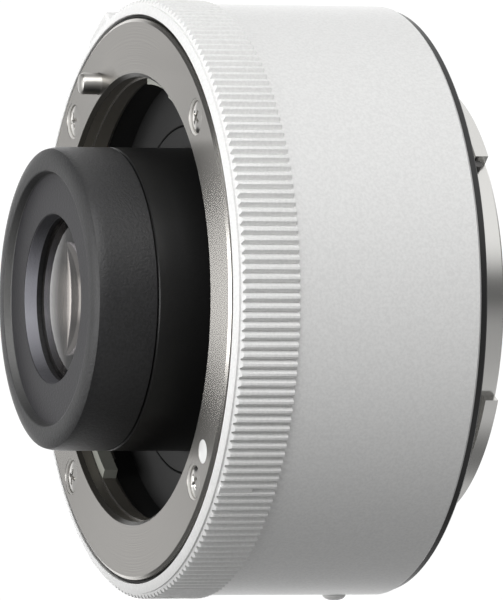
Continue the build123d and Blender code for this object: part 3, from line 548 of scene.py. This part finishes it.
# Front mount plate: stainless steel, faced on a lathe, so fine rings run round it and
# it mirrors along them. Three tabs under its face catch the lens's lugs, and a lead
# before one of them guides the lug in. Four screws hold the plate down.
plate_radius = reach("front_mount_plate")
plate_back, plate_face = levels("front_mount_plate")
throat = 23.05
throat_step = 0.15
throat_chamfer = 0.42
plate_chamfer = 0.33
plate_chamfer_drop = 0.22
plate_break = 0.1
tab_break = 0.03
tab_root = throat + 0.3
tab_radius = 21.9
tab_lead_radius = 22.4
tab_top = 26.58
tab_spans = [(-57.0, -17.0), (86.0, 145.0), (-156.5, -111.5)]
tab_lead_span = (-18.0, 0.0)
tab_lead_drop = 0.001
tab_lead_lift = 0.01
screw_orbit = 26.525
screw_angles = (45.0, 135.0, 225.0, 315.0)
head_radius = 1.7
head_fit = 0.03
head_sink = 0.36
seat_mouth = 1.92
seat_overrun = 0.05
cut_length = 2.0
shank_radius = 0.95
dot_angle = 234.0
dot_radius = 1.25
dot_depth = 0.4
pin_angle = 25.6
pin_orbit = 25.05
pin_radius = 1.135
pin_fit = 0.06
pin_hole_cut = 8.0


def at(orbit, angle, height=0.0):
    """A point, in metres, on an orbit round the optical axis."""
    return Vector((orbit * cos(radians(angle)), orbit * sin(radians(angle)), height)) * mm


def moved(bm, vector):
    bmesh.ops.translate(bm, verts=bm.verts, vec=vector)
    return bm


def turned_metal(name, colour, roughness, streak, pitch, contrast=0.85):
    """Metal faced on a lathe, with rings of a pitch in millimetres round the optical axis.

    The rings are a few times as coarse as a finishing cut leaves them, so that they show."""
    finish, shader = surface(name, Metallic=1.0, Roughness=roughness, Anisotropic=streak,
                             Anisotropic_Rotation=0.25)
    where = add(finish, "TexCoord")
    flat = add(finish, "VectorMath", {"operation": "MULTIPLY", 1: (1, 1, 0)}, {0: (where, "Object")})
    radius = add(finish, "VectorMath", {"operation": "LENGTH"}, {0: (flat, 0)})
    rings = add(finish, "TexNoise", {"noise_dimensions": "1D", "Scale": 1 / (pitch * mm), "Detail": 4.0},
                {"W": (radius, "Value")})
    tones = add(finish, "ValToRGB", links={"Fac": (rings, "Fac")})
    tones.color_ramp.elements[0].position = 0.3
    tones.color_ramp.elements[0].color = tuple(c * contrast for c in linear(colour)[:3]) + (1.0,)
    tones.color_ramp.elements[1].position = 0.7
    tones.color_ramp.elements[1].color = linear(colour)
    wire(finish, tones, "Color", shader, "Base Color")
    relief = add(finish, "Bump", {"Strength": 0.35, "Distance": 0.004 * mm}, {"Height": (rings, "Fac")})
    wire(finish, relief, "Normal", shader, "Normal")
    way = add(finish, "Tangent", {"direction_type": "RADIAL", "axis": "Z"})
    wire(finish, way, "Tangent", shader, "Tangent")
    return finish, shader, radius


# The throat's bevel and bore are blacked against stray light, up to the bare edge of the step that carries
# the tabs. Over the black, the bore is painted a paler grey, which is painted light where little light
# reaches it. The tabs are painted a flat grey in place of bare steel, which is painted shade where the
# throat and barrel shade them.
faced_steel, steel_shader, steel_radius = turned_metal(
    "faced_stainless_steel", "#c9c6c1", roughness=0.25, streak=1.0, pitch=0.1)


def masked(finish, value, low, high):
    """One where a value, in metres, lies between two sizes in millimetres."""
    above = add(finish, "Math", {"operation": "GREATER_THAN", 1: low * mm}, {0: value})
    below = add(finish, "Math", {"operation": "LESS_THAN", 1: high * mm}, {0: value})
    return add(finish, "Math", {"operation": "MULTIPLY"}, {0: (above, 0), 1: (below, 0)})


def painted_on(finish, shader, mask, colour):
    """Lays a colour over what the finish has, where the mask is one."""
    under = shader.inputs["Base Color"].links[0].from_socket
    over = add(finish, "MixRGB", {"Color2": linear(colour)}, {"Fac": (mask, 0)})
    finish.node_tree.links.new(under, over.inputs["Color1"])
    wire(finish, over, 0, shader, "Base Color")


throat_edge = throat + throat_step + throat_chamfer
paint_margin = 0.05
paint_edge = 0.03
step_half_height = 0.06
bore_end = 0.02
seat_floor = 0.5
seat_band = (throat_edge + 0.2, plate_radius - 0.4)
steel_place = add(faced_steel, "TexCoord")
steel_parts = add(faced_steel, "SeparateXYZ", links={0: (steel_place, "Object")})
in_throat = masked(faced_steel, (steel_radius, "Value"), throat - paint_margin, throat_edge - paint_edge)
at_step = masked(faced_steel, (steel_parts, "Z"), tab_top - step_half_height, tab_top + step_half_height)
off_step = add(faced_steel, "Math", {"operation": "SUBTRACT", 0: 1.0}, {1: (at_step, 0)})
blacked = add(faced_steel, "Math", {"operation": "MULTIPLY"}, {0: (in_throat, 0), 1: (off_step, 0)})
# Painted shade: the tabs get a flat grey in place of the faced steel.
tab_painted_shade = masked(faced_steel, (steel_radius, "Value"), 0.0, throat - paint_margin)
painted_on(faced_steel, steel_shader, tab_painted_shade, "#b0b1a8")
painted_on(faced_steel, steel_shader, blacked, "#292722")
# Painted light: the bore gets a paler grey over the black.
in_bore = masked(faced_steel, (steel_parts, "Z"), plate_back - paint_margin,
                 plate_face - throat_chamfer - bore_end)
bore_painted_light = add(faced_steel, "Math", {"operation": "MULTIPLY"}, {0: (in_bore, 0), 1: (blacked, 0)})
painted_on(faced_steel, steel_shader, bore_painted_light, "#78746c")
sunk = masked(faced_steel, (steel_parts, "Z"), plate_back + seat_floor, plate_face - paint_edge)
off_throat = masked(faced_steel, (steel_radius, "Value"), *seat_band)
on_seat = add(faced_steel, "Math", {"operation": "MULTIPLY"}, {0: (sunk, 0), 1: (off_throat, 0)})
painted_on(faced_steel, steel_shader, on_seat, "#c4c2be")
blacked_and_shaded_tab = add(faced_steel, "Math", {"operation": "MAXIMUM"}, {0: (blacked, 0), 1: (tab_painted_shade, 0)})
dull_and_shaded = add(faced_steel, "Math", {"operation": "MAXIMUM"}, {0: (blacked_and_shaded_tab, 0), 1: (on_seat, 0)})
bare = add(faced_steel, "Math", {"operation": "SUBTRACT", 0: 1.0}, {1: (dull_and_shaded, 0)})
wire(faced_steel, bare, 0, steel_shader, "Metallic")
plate = spun([(throat, plate_back), (plate_radius - plate_break, plate_back),
              (plate_radius, plate_back + plate_break),
              (plate_radius, plate_face - plate_chamfer_drop), (plate_radius - plate_chamfer, plate_face),
              (throat_edge, plate_face), (throat + throat_step, plate_face - throat_chamfer),
              (throat + throat_step, tab_top), (throat + tab_break, tab_top),
              (throat, tab_top - tab_break)])
tabs = merged([stretch(tab_radius, tab_root, plate_back, tab_top, *span) for span in tab_spans])
plate = carve(plate, tabs, "UNION")
lead = stretch(tab_lead_radius, tab_root, plate_back + tab_lead_lift, tab_top - tab_lead_drop,
               *tab_lead_span)
plate = carve(plate, lead, "UNION")
screw_seats = []
for angle in screw_angles:
    cone = rod(shank_radius - seat_overrun, seat_mouth - shank_radius + 2 * seat_overrun, (0, 0, 0),
               tip=seat_mouth + seat_overrun)
    screw_seats.append(moved(cone, at(screw_orbit, angle, plate_face - (seat_mouth - shank_radius) / 2)))
plate = carve(plate, merged(screw_seats))
head_level = plate_face + cut_length / 2 - head_sink
dot_level = plate_face + cut_length / 2 - dot_depth
straight = [moved(rod(head_radius + head_fit, cut_length, (0, 0, 0)), at(screw_orbit, angle, head_level))
            for angle in screw_angles]
straight += [moved(rod(dot_radius, cut_length, (0, 0, 0)), at(screw_orbit, dot_angle, dot_level)),
             moved(rod(pin_radius + pin_fit, pin_hole_cut, (0, 0, 0)), at(pin_orbit, pin_angle, plate_face))]
plate = carve(plate, merged(straight))
steel_mount_ring = show("steel_mount_ring", plate, faced_steel)
stand_for(steel_mount_ring, "front_mount_plate")


# Mount screws: four countersunk screws of polished steel with a low crown and a cross
# recess. Each stopped at its own angle when it was driven in.
polished = surface("polished_steel", "#d2d0cc", Metallic=1.0, Roughness=0.16)[0]
head_face = levels("front_mount_screws")[1]
recess_turns = (12.0, 71.0, 33.0, 50.0)
recess_size = (2.3, 0.52, 1.5)
recess_taper = 0.55
crown = 0.2
crown_steps = 10
head_land = 0.1
screw_length = 3.5
screw_round = 0.04


def cross_screw(turn, length):
    """A countersunk screw, face up at the origin, with its cross turned by an angle."""
    cone = head_radius - shank_radius
    shares = [i / crown_steps for i in range(crown_steps)]
    side = [(head_radius, -crown), (head_radius, -crown - head_land),
            (shank_radius, -crown - head_land - cone), (shank_radius, -length), (0, -length)]
    body = spun([(head_radius * share, -crown * share ** 2) for share in shares] + side,
                closed=False, steps=48)
    for quarter in (0.0, 90.0):
        slot = block(recess_size, (0, 0, 0), turn + quarter)
        low = [v for v in slot.verts if v.co.z < 0]
        bmesh.ops.scale(slot, vec=(recess_taper, recess_taper, 1.0), verts=low)
        body = carve(body, slot)
    return soften(body, screw_round, limit=35.0)


screws = [moved(cross_screw(turn, screw_length), at(screw_orbit, angle, head_face))
          for angle, turn in zip(screw_angles, recess_turns)]
polished_screws = show("polished_screws", merged(screws), polished)
stand_for(polished_screws, "front_mount_screws")


# Mounting index: a shallow drilled hole filled with gloss white paint, which sinks a
# little at its edge as it dries.
dot_edge = dot_radius - 0.01
paint_flat = dot_radius * 0.8
paint_flat_drop = 0.01
paint_edge_drop = 0.04
dot = spun([(0, -dot_depth), (dot_edge, -dot_depth), (dot_edge, -paint_edge_drop),
            (paint_flat, -paint_flat_drop), (0, 0)], closed=False, steps=48)
index_paint = show("index_paint", moved(dot, at(screw_orbit, dot_angle, plate_face)), gloss_white)
stand_for(index_paint, "mount_index_dot")


# Lock pin: ground steel, duller than the screws, with a rounded nose. Its neck sits in
# the release bracket and its tail in the spring, and it slides with the lever.
pin_low, pin_top = levels("lock_pin")
neck_low, neck_high = 21.8, 23.4
neck_radius = 0.75
nose_drop = 0.35
nose_flank = (0.12, 0.1)
ground_steel = surface("ground_steel", "#b4b2ae", Metallic=1.0, Roughness=0.36)[0]
pin = spun([(0, neck_low), (neck_radius, neck_low), (neck_radius, neck_high), (pin_radius, neck_high),
            (pin_radius, pin_top - nose_drop), (pin_radius - nose_flank[0], pin_top - nose_flank[1]),
            (pin_radius - nose_drop, pin_top), (0, pin_top)], closed=False, steps=64)
tail = spun([(0, pin_low), (neck_radius, pin_low), (neck_radius, neck_low), (0, neck_low)],
            closed=False, steps=32)
polished_pin = show("polished_pin", moved(merged([pin, tail]), at(pin_orbit, pin_angle)), ground_steel)
stand_for(polished_pin, "lock_pin", "release")


# Groove ring: a moulded ring of matt black rubber, pressed into the bottom of the gap
# round the plate.
matt_rubber, rubber_shader = surface("black_rubber", Roughness=0.7)
rubber_spots = grain(matt_rubber, rubber_shader, size=0.2, height=0.01)
mottle(matt_rubber, rubber_shader, rubber_spots, "#1d1d1d", "#2a2a29")
seal_low, seal_high = levels("groove_ring")
seal_inner = 29.3
seal_outer = 29.65
seal_break = 0.1
seal = spun([(seal_inner, seal_low), (seal_outer, seal_low), (seal_outer, seal_high - seal_break),
             (seal_outer - seal_break, seal_high), (seal_inner + seal_break, seal_high),
             (seal_inner, seal_high - seal_break)])
rubber_seal = show("rubber_seal", seal, matt_rubber)
stand_for(rubber_seal, "groove_ring")


# Mount well: the chamber that the lens's tube enters, moulded in black nylon with a
# fine spark-eroded grain. A window in its floor takes the contact block, and passages
# in its rim take the screws and the lock pin.
matt_nylon, nylon_shader = surface("moulded_black_nylon", Roughness=0.5)
nylon_spots = grain(matt_nylon, nylon_shader, size=0.18, height=0.01)
mottle(matt_nylon, nylon_shader, nylon_spots, "#1f1f1f", "#272727")
well_low, well_high = levels("mount_well")
well_bore = 23.2
well_outer = 23.8
well_rim = reach("mount_well")
floor_hole = 18.2
floor_top = 22.2
floor_round = 0.08
frame_top = levels("main_frame")[1]
contact_angle = 90.0
contact_half_angle = 31.95
contact_outer = 20.2
window_fit = 0.1
window_turn_fit = 0.1
window_overrun = 1.0
passage_cut = 6.0
passage_fit = 0.05
screw_passage = 1.0
well = spun([(floor_hole, well_low), (well_outer, well_low), (well_outer, frame_top), (well_rim, frame_top),
             (well_rim, well_high), (well_bore, well_high), (well_bore, floor_top),
             (floor_hole + floor_round, floor_top), (floor_hole, floor_top - floor_round)])
window_half_angle = contact_half_angle + window_turn_fit
window = stretch(floor_hole - window_overrun, contact_outer + window_fit,
                 well_low - window_overrun, floor_top + window_overrun,
                 contact_angle - window_half_angle, contact_angle + window_half_angle)
well = carve(well, window)
passages = [moved(rod(pin_radius + passage_fit, passage_cut, (0, 0, 0)),
                  at(pin_orbit, pin_angle, frame_top))]
passages += [moved(rod(screw_passage, passage_cut, (0, 0, 0)), at(screw_orbit, angle, frame_top))
             for angle in screw_angles]
well = carve(well, merged(passages))
nylon_well = show("nylon_well", well, matt_nylon)
stand_for(nylon_well, "mount_well")


# Front cap: the black nose of the lens barrel, moulded in polycarbonate with a fine
# leather grain. It has a raised rim and a dished bezel that leads down to the front
# glass, and it fits onto the tube behind it, which leaves a seam.
textured, cap_shader = surface("textured_black_polycarbonate", Roughness=0.48)
cap_spots = grain(textured, cap_shader, size=0.28, height=0.045)
mottle(textured, cap_shader, cap_spots, "#212122", "#2c2c2d")
barrel_radius = reach("front_cap")
cap_wall = 1.4
seam = 30.85
seam_gap = 0.18
seam_depth = 0.5
seam_round = 0.05
cap_low, cap_tip = levels("front_cap")
nose_insets = [(0.0, 35.8), (0.01, 36.25), (0.05, 36.7), (0.14, 37.1), (0.2, 37.28),
               (0.5, 37.44), (1.0, 37.6), (1.5, 37.68), (1.9, cap_tip)]
rim_inner = 13.25
rim_edge = [(0.18, 0.0), (0.05, 0.04), (-0.03, 0.16)]
rim_drop = 0.8
rim_taper = 0.25
dish_round = 0.1
dish_lean = 0.02
opening = 8.8
opening_drop = 0.74
opening_break = (0.1, 0.08)
opening_taper = 0.15
lip_top = cap_tip - opening_drop - 1.31
lip_radius = 8.6
glass_edge = 35.0
glass_gap = 0.18
cell_bore = 9.25
cap_line = [(barrel_radius - cap_wall, cap_low), (barrel_radius - cap_wall, seam),
            (barrel_radius - seam_depth, seam), (barrel_radius - seam_depth, seam + seam_gap),
            (barrel_radius - seam_round, seam + seam_gap), (barrel_radius, seam + seam_gap + seam_round)]
cap_line += [(barrel_radius - inset, height) for inset, height in nose_insets]
cap_line += [(rim_inner + past, cap_tip - drop) for past, drop in rim_edge]
cap_line += [(rim_inner - rim_taper + dish_lean, cap_tip - rim_drop + dish_round),
             (rim_inner - rim_taper - dish_round, cap_tip - rim_drop),
             (opening + opening_break[0], cap_tip - opening_drop),
             (opening, cap_tip - opening_drop - opening_break[1]),
             (opening - opening_taper, lip_top), (lip_radius, lip_top),
             (lip_radius, glass_edge + glass_gap), (cell_bore, glass_edge + glass_gap), (cell_bore, cap_low)]


# The bezel is a little bluer than the nose. The walls of the opening and of the rim carry painted light, as
# if lit from the camera's side: they are painted paler at the middle of their height in the picture, and
# this fades upwards and downwards.
bezel_inner = 8.82
bezel_outer = 12.95
cap_place = add(textured, "TexCoord")
cap_flat = add(textured, "VectorMath", {"operation": "MULTIPLY", 1: (1, 1, 0)},
               {0: (cap_place, "Object")})
cap_reach = add(textured, "VectorMath", {"operation": "LENGTH"}, {0: (cap_flat, 0)})
on_bezel = masked(textured, (cap_reach, "Value"), bezel_inner, bezel_outer)
painted_on(textured, cap_shader, on_bezel, "#232226")
cap_parts = add(textured, "SeparateXYZ", links={0: (cap_place, "Object")})
cap_height = add(textured, "Math", {"operation": "ABSOLUTE"}, {0: (cap_parts, "X")})
opening_wall_light = (8.63, bezel_inner, 2.0, 7.5, "#a0a0a8")
rim_wall_light = (bezel_outer, 13.3, 3.0, 12.0, "#5f5f5e")
# Painted light: each wall's colour is paler at the middle of its height in the picture.
for inner, outer, near, far, colour in (opening_wall_light, rim_wall_light):
    on_wall = masked(textured, (cap_reach, "Value"), inner, outer)
    fade = add(textured, "MapRange", {"From Min": near * mm, "From Max": far * mm,
                                      "To Min": 1.0, "To Max": 0.15}, {"Value": (cap_height, 0)})
    painted_light = add(textured, "Math", {"operation": "MULTIPLY"}, {0: (on_wall, 0), 1: (fade, 0)})
    painted_on(textured, cap_shader, painted_light, colour)
moulded_nose = show("moulded_nose", spun(cap_line), textured, smooth=14.0)
stand_for(moulded_nose, "front_cap")


# Lens barrel: an aluminium tube, turned, bead-blasted and black anodised, with its bore
# stepped for the cells. The dark, dyed skin hides the metal, so it isn't a metal here.
anodised, anodised_shader = surface("black_anodised_aluminium", Metallic=0.0, Roughness=0.36)
anodised_spots = grain(anodised, anodised_shader, size=0.12, height=0.004)
mottle(anodised, anodised_shader, anodised_spots, "#161616", "#1f1f1f")
tube_low = levels("lens_barrel")[0]
tube_break = 0.12
spigot_radius = 14.45
bore_steps = [(13.25, 4.0), (11.45, 16.37), (10.65, 23.6), (9.8, 25.79)]
tube_line = [(spigot_radius, seam), (barrel_radius - tube_break, seam),
             (barrel_radius, seam - tube_break), (barrel_radius, tube_low)]
step_low = tube_low
for bore, step_high in bore_steps:
    tube_line += [(bore, step_low), (bore, step_high)]
    step_low = step_high
tube_line.append((spigot_radius, step_low))
anodised_tube = show("anodised_tube", spun(tube_line), anodised)
stand_for(anodised_tube, "lens_barrel")


# Barrel flange: the ring round the tube's foot that three screws hold to the chassis. It
# is as matt and as dark as the moulded well that it closes.
flange_low, flange_top = levels("barrel_flange")
flange_radius = reach("barrel_flange")
flange_bore = barrel_radius + 0.03
flange_break = 0.1
foot = spun([(flange_bore, flange_low), (flange_radius, flange_low),
             (flange_radius, flange_top - flange_break), (flange_radius - flange_break, flange_top),
             (flange_bore, flange_top)])
anodised_foot = show("anodised_foot", foot, matt_nylon)
stand_for(anodised_foot, "barrel_flange")


# Glass: eight elements, ground and polished, coated against reflections, with their
# edges painted black. The first one's rear face reflects more than the rest, so that
# the light in it shows.
def optical_glass(name, level):
    """Clear glass whose coating leaves a level of reflection."""
    return surface(name, "#f6eee8", Roughness=0.0, IOR=1.6, Transmission_Weight=1.0,
                   Specular_IOR_Level=level)[0]


edge_ink = surface("black_edge_ink", "#0b0b0b", Roughness=0.8)[0]
coated_glass = optical_glass("coated_optical_glass", 0.55)
multicoated_glass = optical_glass("multicoated_optical_glass", 0.02)


def dome(radius, edge, bulge, count=16):
    """Corners of a polished surface, from the optical axis to the edge."""
    ball = (radius ** 2 + bulge ** 2) / (2 * abs(bulge))
    drop = sqrt(ball ** 2 - radius ** 2)
    line = []
    for i in range(count + 1):
        r = radius * i / count
        rise = sqrt(ball ** 2 - r ** 2) - drop
        line.append((r, edge + (rise if bulge > 0 else -rise)))
    return line


def element(node, radius, top, edge, front, rear, rear_glass=multicoated_glass):
    """A lens by its radius, the level and height of its edge, and its two bulges."""
    line = dome(radius, top, front) + dome(radius, top - edge, -rear)[::-1]
    piece = show(node + "_glass", spun(line, closed=False, steps=128), multicoated_glass)
    piece.data.materials.append(edge_ink)
    piece.data.materials.append(rear_glass)
    for face in piece.data.polygons:
        if abs(face.normal.z) < 0.1:
            face.material_index = 1
        elif face.normal.z < 0:
            face.material_index = 2
    stand_for(piece, node)


front_glass = 9.2
middle_glass = 10.6
element("lens_1_front", front_glass, glass_edge, 1.3, front=1.25, rear=0.9, rear_glass=coated_glass)
element("lens_2_flint", front_glass, 33.0, 3.0, front=-0.9, rear=-1.1)
element("lens_3_crown", front_glass, 29.98, 0.7, front=1.1, rear=0.9)
element("lens_4_flint", front_glass, 29.26, 2.2, front=-0.9, rear=-0.3)
element("lens_5_crown", middle_glass, 24.59, 1.0, front=1.1, rear=1.3)
element("lens_6_flint", middle_glass, 23.57, 2.6, front=-1.3, rear=-0.5)
element("lens_7_negative", 11.4, 16.37, 3.2, front=-1.0, rear=-1.2)
element("lens_8_rear", 13.2, 2.4, 2.0, front=2.2, rear=1.0)


# Cells: the spacers and retaining rings that hold the elements, turned from aluminium
# and black anodised like the tube. Little of them shows, so they stay as they were cut.
def leave_as_cut(node, finish):
    """Keeps a node's own mesh and gives it a finish."""
    frame["nodes"][node].data.materials.clear()
    frame["nodes"][node].data.materials.append(finish)


for node in ("front_spacer", "front_retainer", "middle_spacer", "rear_spacer", "rear_retainer"):
    leave_as_cut(node, anodised)


# Rear mount: brass, turned and then milled to leave three lugs on its tube, under satin
# chrome. Four screws hold its flange, and the camera's lock pin enters a blind hole.
chrome = turned_metal("satin_chromed_brass", "#dcdbd8", roughness=0.2, streak=0.4, pitch=0.15)[0]
mount_low, mount_high = levels("rear_mount")
rear_flange_radius = 28.4
flange_edge_break = 0.15
tube_outer = 21.75
tube_inner = 20.35
tube_end_break = 0.2
lug_root = tube_outer - 0.7
lug_radius = 22.9
lug_top = -3.45
lug_low = -4.85
lug_spans = [(-49.0, 1.0), (93.5, 129.5), (-162.7, -116.7)]
rear_screw_orbit = 25.3
rear_screw_angles = (-90.0, 0.0, 90.0, 180.0)
rear_seat_mouth = head_radius + 0.15
rear_seat_sink = 0.35
rear_seat_lap = 0.0001
lock_hole_radius = 1.35
lock_hole_angle = 33.1
lock_hole_depth = 2.05
lock_hole_cut = 4.0
stop_angle = -50.7
stop_height = -3.7
stop_radius = 0.45
stop_fit = 0.03
stop_hole_cut = 3.0
bayonet = spun([(tube_inner, mount_low), (tube_outer - tube_end_break, mount_low),
                (tube_outer, mount_low + tube_end_break), (tube_outer, 0),
                (rear_flange_radius - flange_edge_break, 0), (rear_flange_radius, flange_edge_break),
                (rear_flange_radius, mount_high), (tube_inner, mount_high)])
lugs = merged([stretch(lug_root, lug_radius, lug_low, lug_top, *span) for span in lug_spans])
bayonet = carve(bayonet, lugs, "UNION")
rear_cone = rear_seat_mouth - shank_radius
rear_seats = []
for angle in rear_screw_angles:
    cone = rod(rear_seat_mouth, rear_cone, (0, 0, 0), tip=shank_radius)
    rear_seats.append(moved(cone, at(rear_screw_orbit, angle, rear_seat_sink + rear_cone / 2)))
bayonet = carve(bayonet, merged(rear_seats))
rear_seat_cut = rear_seat_sink + rear_seat_lap - cut_length / 2
rear_holes = [moved(rod(rear_seat_mouth, cut_length, (0, 0, 0)), at(rear_screw_orbit, angle, rear_seat_cut))
              for angle in rear_screw_angles]
rear_holes += [moved(rod(lock_hole_radius, lock_hole_cut, (0, 0, 0)),
                     at(pin_orbit, lock_hole_angle, lock_hole_depth - lock_hole_cut / 2)),
               rod(stop_radius + stop_fit, stop_hole_cut, (lug_root, 0, stop_height),
                   stop_angle, tilt=90.0, steps=32)]
bayonet = carve(bayonet, merged(rear_holes))
chromed_bayonet = show("chromed_bayonet", bayonet, chrome)
stand_for(chromed_bayonet, "rear_mount")


# Rear mount screws: four more of the same polished steel screws, driven in from below
# until their heads sit flush in the flange.
rear_face = levels("rear_mount_screws")[0]
rear_screws = []
for angle, turn in zip(rear_screw_angles, recess_turns):
    screw = cross_screw(turn, screw_length)
    bmesh.ops.rotate(screw, verts=screw.verts, cent=(0, 0, 0), matrix=Matrix.Rotation(pi, 3, "X"))
    rear_screws.append(moved(screw, at(rear_screw_orbit, angle, rear_face)))
polished_rear_screws = show("polished_rear_screws", merged(rear_screws), polished)
stand_for(polished_rear_screws, "rear_mount_screws")


# Stop pin: a short pin of blackened steel, pressed into the mount's tube beside a lug,
# which ends the turn in the camera.
blackened = surface("blackened_steel", "#5c5b5a", Metallic=1.0, Roughness=0.4)[0]
stop_length = 2.1
stop_middle = 21.45
stop_round = 0.08
stop = rod(stop_radius, stop_length, (stop_middle, 0, stop_height), stop_angle, tilt=90.0, steps=32)
blackened_stop = show("blackened_stop", soften(stop, stop_round), blackened)
stand_for(blackened_stop, "bayonet_stop_pin")


# Rear trim ring: turned aluminium, black anodised, set under the white barrel's edge. A
# step on it centres the barrel.
trim_inner = 28.45
trim_step_radius = 29.3
trim_step = 1.0
trim_break = 0.12
trim_radius = reach("rear_trim_ring")
trim_low, trim_high = levels("rear_trim_ring")
trim = spun([(trim_inner, trim_low), (trim_radius - trim_break, trim_low),
             (trim_radius, trim_low + trim_break), (trim_radius, trim_step),
             (trim_step_radius, trim_step), (trim_step_radius, trim_high), (trim_inner, trim_high)])
anodised_trim = show("anodised_trim", trim, anodised)
stand_for(anodised_trim, "rear_trim_ring")


# Rear cover: the baffle round the rear glass, moulded in the same black nylon as the
# well. A window in it leaves the rear contacts bare.
cover_low, cover_high = levels("rear_cover")
cover_wall = 0.8
cover_hole = 12.8
cover_radius = 20.3
cover_ledge = 22.1
cover_ledge_low = 2.25
cover_bore = 19.55
cover_hole_rim = 13.6
rear_contact_angle = 97.5
rear_contact_inner = 18.25
rear_contact_outer = 21.5
rear_contact_top = -1.5
rear_contact_cut = 2.0
cover = spun([(cover_hole, cover_low), (cover_radius, cover_low), (cover_radius, cover_ledge_low),
              (cover_ledge, cover_ledge_low), (cover_ledge, cover_high), (cover_bore, cover_high),
              (cover_bore, cover_low + cover_wall), (cover_hole_rim, cover_low + cover_wall)])
cover_window = stretch(rear_contact_inner, rear_contact_outer,
                       cover_low - rear_contact_cut, rear_contact_top,
                       rear_contact_angle - window_half_angle, rear_contact_angle + window_half_angle)
nylon_baffle = show("nylon_baffle", carve(cover, cover_window), matt_nylon)
stand_for(nylon_baffle, "rear_cover")


# What stays as it was cut: the frame of cast aluminium, the circuit on its green board
# with films of polyimide, the gold-plated contacts in their nylon blocks, and the
# springs, bracket and shim of rolled spring steel.
cast_aluminium, cast_shader = surface("cast_aluminium", Metallic=1.0, Roughness=0.45)
cast_spots = grain(cast_aluminium, cast_shader, size=0.4, height=0.02)
mottle(cast_aluminium, cast_shader, cast_spots, "#8e8f92", "#a5a6a8")
spring_steel = turned_metal("rolled_spring_steel", "#a7a5a1", roughness=0.35, streak=0.3, pitch=0.2)[0]
gold = surface("hard_gold_plate", "#e2c178", Metallic=1.0, Roughness=0.22)[0]
solder_mask, mask_shader = surface("green_solder_mask", Roughness=0.35)
mask_spots = grain(solder_mask, mask_shader, size=0.5, height=0.01)
mottle(solder_mask, mask_shader, mask_spots, "#0c3d24", "#11502f")
film = surface("polyimide_film", "#a3641f", Roughness=0.3)[0]
finishes_as_cut = {
    "main_frame": cast_aluminium, "bayonet_spring": spring_steel, "rear_mount_shim": spring_steel,
    "release_bracket": spring_steel, "lock_spring": spring_steel, "contact_pin_springs": spring_steel,
    "contact_pins": gold, "rear_contact_pads": gold, "front_contact_block": matt_nylon,
    "rear_contact_block": matt_nylon, "circuit_board": solder_mask, "board_chips": matt_nylon,
    "board_screws": polished, "barrel_screws": blackened, "front_flex": film, "rear_flex": film,
}
for node, finish in finishes_as_cut.items():
    leave_as_cut(node, finish)


# Springs: wound from spring steel, each standing on its seat. Each spring that a joint deforms gets a mesh
# of its own.
for joint in frame["record"]["behaviour"]["joints"]:
    for spring in joint["deforming_nodes"]:
        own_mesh(frame["nodes"][spring["node"]])
